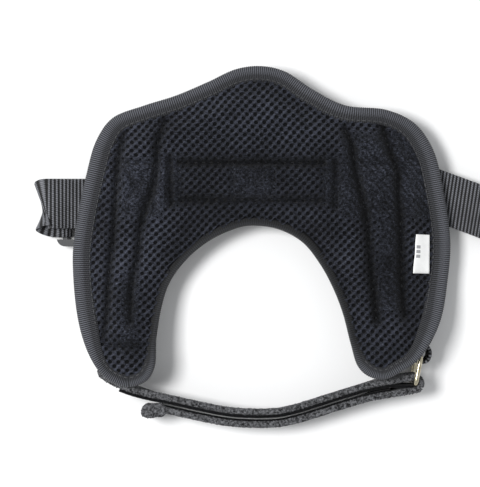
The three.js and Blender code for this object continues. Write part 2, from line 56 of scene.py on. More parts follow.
# ---------------------------------------------------------------- driving sizes, millimetres
BACK_HEIGHT, TIP_LIFT, SIDE_DROOP, REAR_DROOP = 22.0, 8.0, 6.0, 3.0
HANDLE_X, HANDLE_Y = -4.0, 22.5       # where the handle's middle is in the drawing below
PUFF = 6.6                            # how far the padding swells above its edge
HOLE_PITCH = 4.0                      # spacing of the lining's holes along a row
WEB = 1.6                             # webbing thickness
RIB = 1.8                             # pitch of the webbing's ribs
TAPE_RIB = 1.0                        # pitch of the binding tape's finer ribs
STRAP_LOW, STRAP_HIGH = 2.7, 22.7     # chest strap's lower and upper edge
STRAP_THICK, STRAP_OFFSET = 2.8, 3.05
THREAD = 0.5                          # sewing thread with its twist
RING_MIDDLE, TAPE_MIDDLE = 12.75, 12.9   # heights of the tip rings' and the fastener tapes' middles
HANDLE_REST, HANDLE_DROP = 1.3, 5.2   # handle's middle above the floor, and below the pad where it is sewn
LEFT_STRAP_Y, SOCKET_Y = 11.9, 7.6    # where the left strap leaves the pad, and its bar in the socket
VIEW_CENTRE, VIEW_DISTANCE, VIEW_WIDTH = (-9.6, -7.4, 20.0), 0.9, 0.2304
KEY_OFFSET, KEY_HEIGHT, KEY_SIZE, KEY_POWER, SKY = (-0.42, 0.08), 1.08, 0.28, 11.5, 0.55

OUTER_RAIL = [
    (-62.4, -75.6), (-70.6, -73), (-76.1, -68.6), (-82.6, -57.6), (-87.8, -40.3), (-90.2, -15),
    (-88.3, 2.9), (-83.5, 25.9), (-78.7, 42.2), (-71, 52.8), (-55.7, 58.8), (-40.3, 63.6),
    (-25, 70.1), (-11.5, 76.3), (0, 77.8), (11.5, 75.4), (25, 66.7), (40.3, 59), (61.4, 56.6),
    (74.9, 49.9), (83.5, 37.4), (88.3, 18.2), (91.7, -5.8), (90.7, -22.6), (85.9, -45.1),
    (75.8, -61.9), (67.4, -68), (58.6, -72)]
NECK_RAIL = [
    (58.6, -72), (50.9, -70.1), (46.3, -65.5), (43.2, -55.5), (39.4, -40.3), (35, -28.8),
    (28.8, -17.3), (20.2, -6.7), (8.6, -0.5), (-4.3, 1.2), (-11.5, -0.2), (-23, -5.3),
    (-34.6, -14.4), (-43.2, -25.9), (-47, -37.4), (-49.4, -52.8), (-50.2, -66.2), (-54, -72.5)]
PAIR_LINE = [
    (-56, -82.7), (-43.2, -85.4), (-28.8, -88.6), (-14.4, -91.2), (0, -91.9), (9.6, -91.4),
    (19.2, -89.2), (38.4, -83.2), (57.6, -77.6), (71.5, -75)]

# Sewn lines that show through the lining. Each is (points, depth of its crease).
CREASES = {
    "cross_rear": ([(-38.4, 31.2), (30.2, 31.2)], 0.62),
    "cross_front": ([(-38.4, 13.4), (30.2, 13.4)], 0.55),
    "cross_left_a": ([(-43.2, 33), (-42.6, 11.5)], 0.60),
    "cross_left_b": ([(-38.6, 31.2), (-38.4, 13.4)], 0.35),
    "cross_right_a": ([(30, 31.2), (30.2, 13.4)], 0.35),
    "cross_right_b": ([(36, 32), (35.6, 10.5)], 0.55),
    "left_outer": ([(-65.5, 45.6), (-67.7, 37), (-68.6, 28.8), (-69.6, 12.5), (-70.6, -7.2),
                    (-72, -14.9), (-73.4, -40.3), (-74.9, -52.3)], 0.62),
    "left_inner": ([(-45.6, 51.8), (-48.5, 42.7), (-50.4, 23), (-55.2, 7.7), (-57.6, -1),
                    (-58.1, -9.1), (-60, -20.2), (-61.4, -27.8), (-61.9, -44.6)], 0.62),
    "left_tip": ([(-72, -55.7), (-57.6, -55.7)], 0.5),
    "right_inner": ([(40.3, 47.5), (43.7, 38.9), (45.6, 26.9), (48, 17.3), (50.4, 6.7),
                     (51.4, -2.4), (52.3, -14.9), (54.2, -32.2), (55.2, -44)], 0.66),
    "right_outer": ([(58.1, 50.4), (61.9, 37), (65.8, 26.9), (65.8, 17.3), (66.7, 7.7),
                     (67.2, -2.4), (67.4, -14.9), (67.7, -27.8), (68.6, -42)], 0.66),
}


def boxed(x0, x1, y0, y1, depth):
    """A sewn rectangle with its two diagonals."""
    ring = [(x0, y0), (x1, y0), (x1, y1), (x0, y1), (x0, y0)]
    return [(ring, depth), ([(x0, y0), (x1, y1)], depth * 0.8), ([(x0, y1), (x1, y0)], depth * 0.8)]


# Boxed and tightly quilted places, where the lining is closed: x0, x1, y0, y1.
CLOSED_PLACES = [(-66, -46, 4, 33), (-14, 7, 12, 32), (38, 82, 4, 46), (-46, -38, 10, 34), (30, 38, 10, 34),
                 (56, 68, -40, 6), (-66, -58, -56, -20)]
BOXES = (boxed(-67.2, -50.5, 8.2, 31.2, 0.30) + boxed(-13.4, 5.8, 13.4, 31.2, 0.30)
         + boxed(48.5, 64.8, 9.2, 30.3, 0.30))

# ---------------------------------------------------------------- placing
def drawing_shift():
    """From the drawing's millimetres to the model's frame, found from the handle's CAD box."""
    low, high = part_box("handle")
    return np.array([(low[0] + high[0]) * 500 - HANDLE_X, (low[1] + high[1]) * 500 - HANDLE_Y, 0.0])


SHIFT = drawing_shift()


def to_world(points):
    """Drawing millimetres to metres in the model's frame."""
    return (np.asarray(points, float) + SHIFT) / 1000.0


# ---------------------------------------------------------------- curves
def catmull(points, closed=False, per_segment=24):
    """Centripetal Catmull-Rom curve through the points, as a dense line."""
    pts = np.asarray(points, float)
    count = len(pts)
    line = []
    for i in range(count if closed else count - 1):
        if closed:
            p0, p1, p2, p3 = (pts[(i + k) % count] for k in (-1, 0, 1, 2))
        else:
            p1, p2 = pts[i], pts[i + 1]
            p0 = pts[i - 1] if i > 0 else 2 * p1 - p2
            p3 = pts[i + 2] if i + 2 < count else 2 * p2 - p1
        d0, d1, d2 = (max(np.linalg.norm(b - a), 1e-6) ** 0.5 for a, b in ((p0, p1), (p1, p2), (p2, p3)))
        m1 = ((p1 - p0) / d0 - (p2 - p0) / (d0 + d1) + (p2 - p1) / d1) * d1
        m2 = ((p2 - p1) / d1 - (p3 - p1) / (d1 + d2) + (p3 - p2) / d2) * d1
        t = np.linspace(0, 1, per_segment, endpoint=False)[:, None]
        line.append((2 * t**3 - 3 * t**2 + 1) * p1 + (t**3 - 2 * t**2 + t) * m1
                    + (-2 * t**3 + 3 * t**2) * p2 + (t**3 - t**2) * m2)
    if not closed:
        line.append(pts[-1:])
    return np.concatenate(line)


def lengths(line):
    """Distance along a line to each of its points."""
    return np.concatenate([[0], np.cumsum(np.linalg.norm(np.diff(line, axis=0), axis=1))])


def along(line, distances):
    """Points at the given distances along a line."""
    at = lengths(line)
    return np.stack([np.interp(distances, at, line[:, k]) for k in range(line.shape[1])], axis=1)


def evenly(line, step, closed=False):
    """The line again with equal steps of about the given length."""
    if closed:
        line = np.concatenate([line, line[:1]])
    total = lengths(line)[-1]
    count = max(int(round(total / step)), 2)
    points = along(line, np.linspace(0, total, count + 1))
    return points[:-1] if closed else points


def directions(line, closed=False):
    """The unit direction of a line at each of its points."""
    if closed:
        step = np.roll(line, -1, axis=0) - np.roll(line, 1, axis=0)
    else:
        step = np.gradient(line, axis=0)
    return step / np.maximum(np.linalg.norm(step, axis=1, keepdims=True), 1e-9)


def smoothstep(low, high, value):
    """0 below low and 1 above high with an eased rise between, or a fall when high is the smaller."""
    t = np.clip((value - low) / (high - low), 0, 1)
    return t * t * (3 - 2 * t)


class Near:
    """Distance to a set of points in the plane."""

    def __init__(self, points):
        self.tree = kdtree.KDTree(len(points))
        for i, point in enumerate(points):
            self.tree.insert((point[0], point[1], 0), i)
        self.tree.balance()

    def distance(self, xy):
        return np.array([self.tree.find((x, y, 0))[2] for x, y in xy])

    def nearest(self, xy):
        found = [self.tree.find((x, y, 0)) for x, y in xy]
        return np.array([f[2] for f in found]), np.array([f[1] for f in found])


# ---------------------------------------------------------------- the pad's shape
RAIL_DENSE = catmull(OUTER_RAIL + NECK_RAIL[1:], closed=True)
RAIL_LENGTHS = lengths(np.concatenate([RAIL_DENSE, RAIL_DENSE[:1]]))
TIP_SHARE = RAIL_LENGTHS[(len(OUTER_RAIL) - 1) * 24] / RAIL_LENGTHS[-1]   # where the outer rail ends
OUTLINE = evenly(RAIL_DENSE, 0.5, closed=True)
EDGE = Near(OUTLINE)


def lip_width(line):
    """How far the binding shows over the lining, all along a line round the outline."""
    at = np.arange(len(line)) / len(line)
    x, y = line[:, 0], line[:, 1]
    outer = 7.4 + 2.0 * smoothstep(62, 84, np.abs(x)) * smoothstep(-62, -40, y)
    width = np.where(at < TIP_SHARE, outer, 3.4)
    width = np.where(y < -60, 5.6, width)
    reach = int(len(line) * 9 / 700)
    kernel = np.ones(2 * reach + 1) / (2 * reach + 1)
    wrapped = np.concatenate([width[-reach:], width, width[:reach]])
    return np.convolve(wrapped, kernel, mode="valid")


LIP = lip_width(OUTLINE)
CREASE_LINES = [(evenly(catmull(points), 0.4), depth) for points, depth in CREASES.values()]
BOX_LINES = [(evenly(np.array(points, float), 0.4), depth) for points, depth in BOXES]
CREASE_NEAR = [(Near(line), depth, 2.6) for line, depth in CREASE_LINES]
CREASE_NEAR += [(Near(line), depth, 1.5) for line, depth in BOX_LINES]


def pad_height(xy):
    """Height of the pad's middle surface."""
    x, y = xy[:, 0], xy[:, 1]
    lift = smoothstep(20, 70, -y)
    side = SIDE_DROOP * (np.abs(x) / 90) ** 3
    rear = REAR_DROOP * (np.maximum(y, 0) / 78) ** 3
    return BACK_HEIGHT + TIP_LIFT * lift - (side + rear) * (1 - lift)


def crease(xy):
    """0 on open padding, up to about 0.7 on a sewn line."""
    total = np.zeros(len(xy))
    for near, depth, width in CREASE_NEAR:
        value = depth * np.exp(-(near.distance(xy) / width) ** 1.6)
        total = np.maximum(total, value)
    return total


def wander(xy, size, amount):
    """A slow uneven swell, the same on every run."""
    x, y = xy[:, 0] / size, xy[:, 1] / size
    return amount * (np.sin(x * 1.7 + 1.3 * np.sin(y * 1.1)) * np.cos(y * 1.3 + 0.7) * 0.6
                     + np.sin(x * 3.1 + y * 2.3 + 2.0) * 0.4)


def lining_height(xy):
    """Height of the lining's face. It swells from the binding's inner edge."""
    distance, index = EDGE.nearest(xy)
    past = distance - LIP[index]
    swell = PUFF * (0.16 * smoothstep(-1.6, 0.6, past) + 0.84 * smoothstep(-1.0, 11, past))
    shape = swell * (1 - crease(xy)) + wander(xy, 9, 0.35) * smoothstep(0, 8, past)
    return pad_height(xy) + 1.2 + shape


# ---------------------------------------------------------------- mesh making
def mesh_object(name, points, faces, material, uv=None, shade=None):
    """A mesh object from drawing millimetres."""
    mesh = bpy.data.meshes.new(name)
    world = to_world(points)
    mesh.from_pydata(world.tolist(), [], [tuple(int(i) for i in f) for f in faces])
    mesh.validate()
    if uv is not None:
        layer = mesh.uv_layers.new(name="UVMap")
        index = np.empty(len(mesh.loops), dtype=np.int32)
        mesh.loops.foreach_get("vertex_index", index)
        layer.data.foreach_set("uv", np.asarray(uv, np.float32)[index].ravel())
    if shade is not None:
        tint = mesh.color_attributes.new("shade", "FLOAT_COLOR", "POINT")
        tint.data.foreach_set("color", np.asarray(shade, np.float32).ravel())
    mesh.polygons.foreach_set("use_smooth", [True] * len(mesh.polygons))
    mesh.materials.append(material)
    obj = bpy.data.objects.new(name, mesh)
    scene.collection.objects.link(obj)
    return obj


def grid_faces(rows, count, closed_rows, closed_count=True):
    """Quads between rows of points."""
    i = np.arange(rows if closed_rows else rows - 1)
    j = np.arange(count if closed_count else count - 1)
    i, j = np.meshgrid(i, j, indexing="ij")
    i2, j2 = (i + 1) % rows, (j + 1) % count
    quads = np.stack([i * count + j, i * count + j2, i2 * count + j2, i2 * count + j], axis=-1)
    return quads.reshape(-1, 4)


def loft(name, sections, material, closed=False, uv=None, shade=None):
    """A solid through equal outlines, capped by fans when it is open."""
    rows, count = sections.shape[:2]
    points = sections.reshape(-1, 3)
    faces = [tuple(f) for f in grid_faces(rows, count, closed)]
    if not closed:
        first, last = len(points), len(points) + 1
        points = np.vstack([points, sections[0].mean(axis=0), sections[-1].mean(axis=0)])
        base = (rows - 1) * count
        for j in range(count):
            k = (j + 1) % count
            faces.append((first, k, j))
            faces.append((last, base + j, base + k))
        if uv is not None:
            uv = np.vstack([uv, uv[:count].mean(axis=0), uv[base:base + count].mean(axis=0)])
    obj = mesh_object(name, points, faces, material, uv, shade=shade)
    face_out(obj)
    return obj


def face_out(obj):
    """Turns a closed mesh's faces outwards."""
    mesh = obj.data
    mesh.calc_loop_triangles()
    co = np.array([v.co for v in mesh.vertices])
    tri = np.array([t.vertices for t in mesh.loop_triangles])
    volume = np.einsum("ij,ij->i", co[tri[:, 0]], np.cross(co[tri[:, 1]], co[tri[:, 2]])).sum()
    if volume < 0:
        mesh.flip_normals()


def band_profile(width, thick, across_steps):
    """Outline of a flat band's section, with soft selvedges: (across, up) pairs."""
    w, t = width / 2, thick / 2
    across = np.linspace(-w + t * 0.6, w - t * 0.6, across_steps)
    top = [(a, t) for a in across]
    right = [(w - t * 0.12, t * 0.62), (w, 0), (w - t * 0.12, -t * 0.62)]
    bottom = [(a, -t) for a in across[::-1]]
    left = [(-w + t * 0.12, -t * 0.62), (-w, 0), (-w + t * 0.12, t * 0.62)]
    return np.array(top + right + bottom + left)


def band(name, path, side, width, thick, material, rib=RIB, rib_depth=0.16, across_steps=7, step=None,
         thick_at=None, skew=0.0):
    """A band of webbing along a path, ribbed across. side is one direction or one for each path point."""
    path = np.asarray(path, float)
    side = np.broadcast_to(np.asarray(side, float), path.shape)
    at = lengths(path)
    step = step or rib / 4
    count = max(int(at[-1] / step), 4)
    s = np.linspace(0, at[-1], count + 1)
    line = np.stack([np.interp(s, at, path[:, k]) for k in range(3)], axis=1)
    across = np.stack([np.interp(s, at, side[:, k]) for k in range(3)], axis=1)
    forward = directions(line)
    across -= forward * np.einsum("ij,ij->i", across, forward)[:, None]
    across /= np.linalg.norm(across, axis=1, keepdims=True)
    up = np.cross(across, forward)
    profile = band_profile(width, thick, across_steps)
    phase = s[:, None] + skew * profile[None, :, 0]
    swell = rib_depth * (np.abs(np.sin(np.pi * phase / rib)) - 0.6) if rib else np.zeros_like(phase)
    grow = thick_at(s / at[-1]) if thick_at else np.ones_like(s)
    height = profile[None, :, 1] * grow[:, None] + np.sign(profile[None, :, 1]) * swell
    sections = (line[:, None, :] + across[:, None, :] * profile[None, :, 0, None]
                + up[:, None, :] * height[:, :, None])
    uv = np.stack([phase, np.broadcast_to(profile[None, :, 0], height.shape)], axis=-1)
    return loft(name, sections, material, uv=uv.reshape(-1, 2))


def arc(centre, u, v, radius, start, stop, steps=16):
    """Points on a circle's arc in the plane of u and v, between two angles in degrees."""
    angle = np.radians(np.linspace(start, stop, steps + 1))[:, None]
    return np.asarray(centre) + radius * (np.cos(angle) * np.asarray(u) + np.sin(angle) * np.asarray(v))


def wire(name, path, diameter, normal, material, closed=True, sides=20):
    """A round wire along a line that lies in one plane."""
    forward = directions(path, closed)
    normal = np.asarray(normal, float) / np.linalg.norm(normal)
    out = np.cross(forward, normal)
    angle = np.linspace(0, 2 * np.pi, sides, endpoint=False)
    radius = diameter / 2
    sections = (path[:, None, :] + out[:, None, :] * (np.cos(angle) * radius)[None, :, None]
                + normal[None, None, :] * (np.sin(angle) * radius)[None, :, None])
    return loft(name, sections, material, closed=closed)


def stitches(name, lines, height, material, length=2.5, gap=0.7, sides=6, lift=0.05, flat=0.7):
    """Sewing thread: a row of small rounded stitches along each line seen from above."""
    points, faces = [], []
    rings = 5
    angle = np.linspace(0, 2 * np.pi, sides, endpoint=False)
    for line in lines:
        total = lengths(line)[-1]
        count = max(int(total / (length + gap)), 1)
        starts = (np.arange(count) + 0.5) * total / count - length / 2
        for start in starts:
            t = np.linspace(0, 1, rings)
            centre = along(line, start + t * length)
            level = height(centre) + lift - 0.45 * np.abs(2 * t - 1) ** 3
            forward = directions(centre)
            side = np.stack([-forward[:, 1], forward[:, 0]], axis=1)
            radius = THREAD / 2 * np.sqrt(np.maximum(1 - (1.9 * (t - 0.5)) ** 2, 0.05))
            base = len(points)
            for k in range(rings):
                for a in angle:
                    xy = centre[k] + side[k] * math.cos(a) * radius[k]
                    points.append((xy[0], xy[1], level[k] + math.sin(a) * radius[k] * flat))
            for k in range(rings - 1):
                for j in range(sides):
                    j2 = (j + 1) % sides
                    faces.append((base + k * sides + j, base + k * sides + j2,
                                  base + (k + 1) * sides + j2, base + (k + 1) * sides + j))
            faces.append(tuple(base + j for j in range(sides))[::-1])
            faces.append(tuple(base + (rings - 1) * sides + j for j in range(sides)))
    return mesh_object(name, np.array(points), faces, material)


# ---------------------------------------------------------------- materials
class Look:
    """A node material with a Principled shader and short ways to add nodes to it."""

    def __init__(self, name, color, roughness=0.9, sheen=0.0, metallic=0.0, specular=0.3, sheen_rough=0.5):
        self.material = bpy.data.materials.new(name)
        self.material.use_nodes = True
        self.nodes = self.material.node_tree.nodes
        self.links = self.material.node_tree.links
        self.shader = self.nodes["Principled BSDF"]
        self.shader.inputs["Base Color"].default_value = (*color, 1)
        self.shader.inputs["Roughness"].default_value = roughness
        self.shader.inputs["Metallic"].default_value = metallic
        self.shader.inputs["Specular IOR Level"].default_value = specular
        self.shader.inputs["Sheen Weight"].default_value = sheen
        self.shader.inputs["Sheen Roughness"].default_value = sheen_rough

    def add(self, kind, inputs=(), **settings):
        """A node, with each input either linked to a socket or set to a value."""
        node = self.nodes.new(kind)
        for key, value in settings.items():
            setattr(node, key, value)
        for key, value in dict(inputs).items():
            if isinstance(value, bpy.types.NodeSocket):
                self.links.new(value, node.inputs[key])
            else:
                node.inputs[key].default_value = value
        return node

    def place(self):
        return self.add("ShaderNodeTexCoord").outputs["Object"]

    def shade(self):
        """The painted light and shade and the fuzziness, kept on the piece's vertices."""
        stored = self.add("ShaderNodeAttribute", attribute_name="shade").outputs[0]
        split = self.add("ShaderNodeSeparateColor", {0: stored})
        return split.outputs[0], split.outputs[1]

    def times(self, color, factor):
        """A colour made darker or lighter by a number."""
        return self.add("ShaderNodeVectorMath", {0: color, 1: factor}, operation="MULTIPLY").outputs[0]

    def uv(self):
        """U and V in millimetres, along and across a band."""
        stored = self.add("ShaderNodeUVMap", uv_map="UVMap").outputs[0]
        split = self.add("ShaderNodeSeparateXYZ", {0: stored})
        return split.outputs[0], split.outputs[1]

    def noise(self, size_mm, detail=3.0, vector=None, rough=0.55):
        node = self.add("ShaderNodeTexNoise", {"Vector": vector or self.place(), "Scale": 1000 / size_mm,
                                               "Detail": detail, "Roughness": rough})
        return node.outputs["Fac"]

    def math(self, operation, a, b=0.0):
        return self.add("ShaderNodeMath", {0: a, 1: b}, operation=operation).outputs[0]

    def plus(self, a, b):
        return self.math("ADD", a, b)

    def less(self, a, b):
        return self.math("SUBTRACT", a, b)

    def mul(self, a, b):
        return self.math("MULTIPLY", a, b)

    def wave(self, value, pitch):
        """A sine of a length, from 0 to 1."""
        turned = self.math("SINE", self.mul(value, 2 * math.pi / pitch))
        return self.plus(self.mul(turned, 0.5), 0.5)

    def ramp(self, value, stops):
        """A colour from a number, between (position, colour) stops."""
        node = self.add("ShaderNodeValToRGB", {0: value})
        ramp = node.color_ramp
        while len(ramp.elements) < len(stops):
            ramp.elements.new(0.5)
        for element, (position, color) in zip(ramp.elements, stops):
            element.position = position
            element.color = (*color, 1)
        return node.outputs[0]

    def color(self, socket):
        self.links.new(socket, self.shader.inputs["Base Color"])

    def rough(self, value, low, high):
        node = self.add("ShaderNodeMapRange", {0: value, 3: low, 4: high})
        self.links.new(node.outputs[0], self.shader.inputs["Roughness"])

    def bump(self, heights):
        """Bumps, each (height socket, depth in millimetres), on top of each other."""
        normal = None
        for height, depth in heights:
            inputs = {"Height": height, "Distance": depth / 1000, "Strength": 1.0}
            if normal is not None:
                inputs["Normal"] = normal
            normal = self.add("ShaderNodeBump", inputs).outputs[0]
        self.links.new(normal, self.shader.inputs["Normal"])
        return self.material


def grey(value, blue=1.0):
    """A grey that leans towards blue above 1."""
    return (value * (1 - (blue - 1) * 0.25), value, value * blue)


def knit_look(name, dark, light, blue, shaded=False):
    """Knitted yarn: slanting loops, flecks and fuzz with a few light ends of fibre."""
    look = Look(name, grey(dark, blue), 0.92, sheen=0.05, specular=0.12)
    place = look.place()
    slanted = look.add("ShaderNodeMapping", {"Vector": place, "Rotation": (0, 0, math.radians(-45)),
                                             "Scale": (0.35, 1.6, 1.0)}).outputs[0]
    yarn = look.noise(0.7, 2.0, slanted)
    fleck = look.noise(0.55, 4.0, place, 0.75)
    patch = look.noise(22.0, 2.0, place)
    mixed = look.plus(look.mul(yarn, 0.4), look.mul(fleck, 0.6))
    mixed = look.plus(mixed, look.mul(look.less(patch, 0.5), 0.2))
    color = look.ramp(mixed, [(0.38, grey(dark, blue)), (0.5, grey(dark * 0.6 + light * 0.4, blue)),
                              (0.62, grey(light, blue)), (0.74, grey(light * 2.4, 1 + (blue - 1) * 0.7))])
    heights = [(yarn, 0.25), (fleck, 0.3)]
    if shaded:
        painted_shade, fuzzy = look.shade()
        tuft = look.noise(1.3, 5.0, place, 0.85)
        spread = look.mul(look.less(tuft, 0.5), look.mul(fuzzy, 10.0))
        spread = look.math("MAXIMUM", look.plus(spread, 1.0), 0.12)
        # The lining's colour is multiplied by its painted light and shade.
        color = look.times(color, look.mul(painted_shade, spread))
        heights.append((look.mul(tuft, fuzzy), 0.5))
    look.color(color)
    look.rough(fleck, 0.8, 1.0)
    return look.bump(heights)


def ribbed_look(name, dark, light, blue=1.03, dotted=0.0, sheen=0.15, pitch=RIB, shaded=False, low=0.12):
    """Webbing and grosgrain: ribs across the band, with the weft showing as small dots."""
    look = Look(name, grey(dark, blue), 0.7, sheen=sheen, specular=0.4)
    u, v = look.uv()
    rib = look.math("POWER", look.wave(look.plus(u, -pitch / 4), pitch), 0.8)
    dots = look.wave(look.plus(v, look.mul(u, 0.95 / (2 * pitch))), 0.95)
    warp = look.wave(v, 0.62)
    fleck = look.noise(0.4, 4.0)
    wear = look.noise(9.0, 3.0)
    tone = look.mul(rib, look.plus(look.mul(dots, dotted), 1 - dotted))
    tone = look.plus(tone, look.mul(look.less(fleck, 0.5), 0.5))
    tone = look.plus(tone, look.mul(look.less(wear, 0.5), 0.3))
    color = look.ramp(tone, [(low, grey(dark, blue)), (0.85, grey(light, blue))])
    if shaded:
        # The binding's colour is multiplied by its painted light and shade.
        color = look.times(color, look.shade()[0])
    look.color(color)
    look.rough(wear, 0.6, 0.85)
    return look.bump([(rib, 0.18 * pitch), (dots, 0.10 + dotted * 0.12), (warp, 0.06), (fleck, 0.05)])


def pile_look(name, dark, light, blue=1.06):
    """Brushed loop pile: knobbly loops a millimetre across with dark gaps between them."""
    look = Look(name, grey(dark, blue), 1.0, sheen=0.08, specular=0.1)
    loops = look.noise(1.1, 3.0, rough=0.7)
    curl = look.noise(0.35, 2.0)
    tone = look.plus(look.mul(loops, 0.65), look.mul(curl, 0.35))
    look.color(look.ramp(tone, [(0.42, grey(dark, blue)), (0.6, grey(light, blue))]))
    look.rough(curl, 0.9, 1.0)
    return look.bump([(loops, 0.6), (curl, 0.3)])


def canvas_look(name, dark, light):
    """Plain woven outer cloth."""
    look = Look(name, grey(dark), 0.8, sheen=0.1, specular=0.35)
    place = look.add("ShaderNodeSeparateXYZ", {0: look.place()})
    x = look.wave(look.plus(place.outputs[0], place.outputs[1]), 0.0007)
    y = look.wave(look.less(place.outputs[0], place.outputs[1]), 0.0007)
    fleck = look.noise(0.5, 4.0)
    weave = look.math("MAXIMUM", x, y)
    tone = look.plus(look.mul(weave, 0.6), look.mul(fleck, 0.4))
    look.color(look.ramp(tone, [(0.3, grey(dark)), (0.8, grey(light))]))
    look.rough(fleck, 0.7, 0.9)
    return look.bump([(weave, 0.15), (fleck, 0.06)])


def label_look():
    """Close woven white satin."""
    look = Look("white_woven_label", (0.86, 0.86, 0.85), 0.55, sheen=0.1, specular=0.4)
    place = look.add("ShaderNodeSeparateXYZ", {0: look.place()})
    weft = look.wave(place.outputs[1], 0.00035)
    warp = look.wave(place.outputs[0], 0.0005)
    tint = look.noise(3.0, 3.0)
    look.color(look.ramp(tint, [(0.3, (0.93, 0.93, 0.92)), (0.7, (0.98, 0.98, 0.97))]))
    look.rough(tint, 0.45, 0.65)
    return look.bump([(weft, 0.008), (warp, 0.005)])


def ink_look():
    look = Look("label_grey_ink", (0.35, 0.35, 0.36), 0.8)
    grain = look.noise(0.3, 3.0)
    look.color(look.ramp(grain, [(0.3, (0.30, 0.30, 0.31)), (0.7, (0.45, 0.45, 0.46))]))
    return look.bump([(grain, 0.02)])


def metal_look():
    look = Look("warm_nickel", (0.5, 0.46, 0.34), 0.22, metallic=1.0, specular=0.5)
    wear = look.noise(2.5, 5.0, rough=0.65)
    scratch = look.noise(0.5, 2.0)
    look.color(look.ramp(wear, [(0.35, (0.36, 0.32, 0.20)), (0.6, (0.62, 0.57, 0.44))]))
    look.rough(wear, 0.16, 0.34)
    return look.bump([(scratch, 0.01)])


def plastic_look():
    look = Look("black_moulded_plastic", (0.018, 0.02, 0.023), 0.38, specular=0.28)
    grain = look.noise(0.35, 3.0)
    scuff = look.noise(6.0, 4.0)
    look.color(look.ramp(scuff, [(0.3, (0.014, 0.016, 0.019)), (0.75, (0.032, 0.035, 0.04))]))
    look.rough(scuff, 0.3, 0.5)
    return look.bump([(grain, 0.03)])


def floor_look():
    look = Look("pale_floor", (0.9, 0.9, 0.9), 0.9, specular=0.1)
    grain = look.noise(40.0, 2.0)
    look.color(look.ramp(grain, [(0.0, (0.895, 0.895, 0.895)), (1.0, (0.905, 0.905, 0.905))]))
    return look.bump([(grain, 0.01)])


LINING = knit_look("spacer_mesh_lining", 0.003, 0.058, 1.36, shaded=True)
BACKING = knit_look("spacer_mesh_backing", 0.002, 0.006, 1.25)
SHELL = canvas_look("outer_cloth", 0.012, 0.034)
BINDING = ribbed_look("grosgrain_binding", 0.001, 0.11, 1.16, low=0.2, sheen=0.05, pitch=TAPE_RIB,
                      shaded=True)
WEBBING = ribbed_look("ribbed_webbing", 0.002, 0.20, 1.1, dotted=0.5, sheen=0.03, low=0.26)
PILE = pile_look("brushed_loop_pile", 0.005, 0.2)
TAPE_LOOP = pile_look("loop_tape", 0.001, 0.008, 1.2)
TAPE_HOOK = pile_look("hook_tape", 0.001, 0.007, 1.2)
THREADS = knit_look("sewing_thread", 0.008, 0.03, 1.15)
EDGE_THREAD = knit_look("binding_thread", 0.05, 0.11, 1.05)
LABEL = label_look()
INK = ink_look()
METAL = metal_look()
PLASTIC = plastic_look()
FLOOR = floor_look()


def finish_piece(obj, body, nodes=()):
    """Puts a piece on its body and the CAD nodes that it replaces."""
    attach(obj, body)
    if nodes:
        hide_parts(*nodes)
    return obj


# ---------------------------------------------------------------- camera, light and floor
def add_camera():
    """Straight down over the pad."""
    data = bpy.data.cameras.new("camera")
    camera = bpy.data.objects.new("camera", data)
    scene.collection.objects.link(camera)
    centre = to_world(VIEW_CENTRE)
    camera.location = (centre[0], centre[1], centre[2] + VIEW_DISTANCE)
    data.sensor_fit = "HORIZONTAL"
    data.sensor_width = 36
    data.lens = data.sensor_width * VIEW_DISTANCE / VIEW_WIDTH
    data.clip_end = 20
    scene.camera = camera


def area_light(name, location, target, size, power):
    """A square soft light aimed at a point."""
    data = bpy.data.lights.new(name, "AREA")
    data.shape = "SQUARE"
    data.size = size
    data.energy = power
    light = bpy.data.objects.new(name, data)
    scene.collection.objects.link(light)
    light.location = location
    light.rotation_euler = (Vector(target) - Vector(location)).to_track_quat("-Z", "Y").to_euler()


def add_light():
    """One soft key from the left under a pale even sky."""
    middle = to_world((0, 0, 20))
    place = (middle[0] + KEY_OFFSET[0], middle[1] + KEY_OFFSET[1], KEY_HEIGHT)
    area_light("key", place, middle, KEY_SIZE, KEY_POWER)
    world = bpy.data.worlds.new("studio")
    world.use_nodes = True
    world.node_tree.nodes["Background"].inputs[0].default_value = (0.97, 0.985, 1.0, 1)
    world.node_tree.nodes["Background"].inputs[1].default_value = SKY
    scene.world = world
    scene.view_settings.view_transform = "Standard"


def add_floor():
    size = 4.0
    corners = [(-size, -size, 0), (size, -size, 0), (size, size, 0), (-size, size, 0)]
    mesh = bpy.data.meshes.new("floor")
    mesh.from_pydata(corners, [], [(0, 1, 2, 3)])
    mesh.materials.append(FLOOR)
    floor = bpy.data.objects.new("floor", mesh)
    scene.collection.objects.link(floor)


# ---------------------------------------------------------------- the pad
def inward(line):
    """Directions pointing into the pad along the clockwise outline."""
    forward = directions(line, closed=True)
    return np.stack([forward[:, 1], -forward[:, 0]], axis=1)


def inside(xy, polygon):
    """Which points lie inside a closed line."""
    result = np.zeros(len(xy), bool)
    x, y = xy[:, 0], xy[:, 1]
    a, b = polygon, np.roll(polygon, -1, axis=0)
    for (x0, y0), (x1, y1) in zip(a, b):
        if y0 == y1:
            continue
        crossing = ((y0 > y) != (y1 > y)) & (x < (x1 - x0) * (y - y0) / (y1 - y0) + x0)
        result ^= crossing
    return result


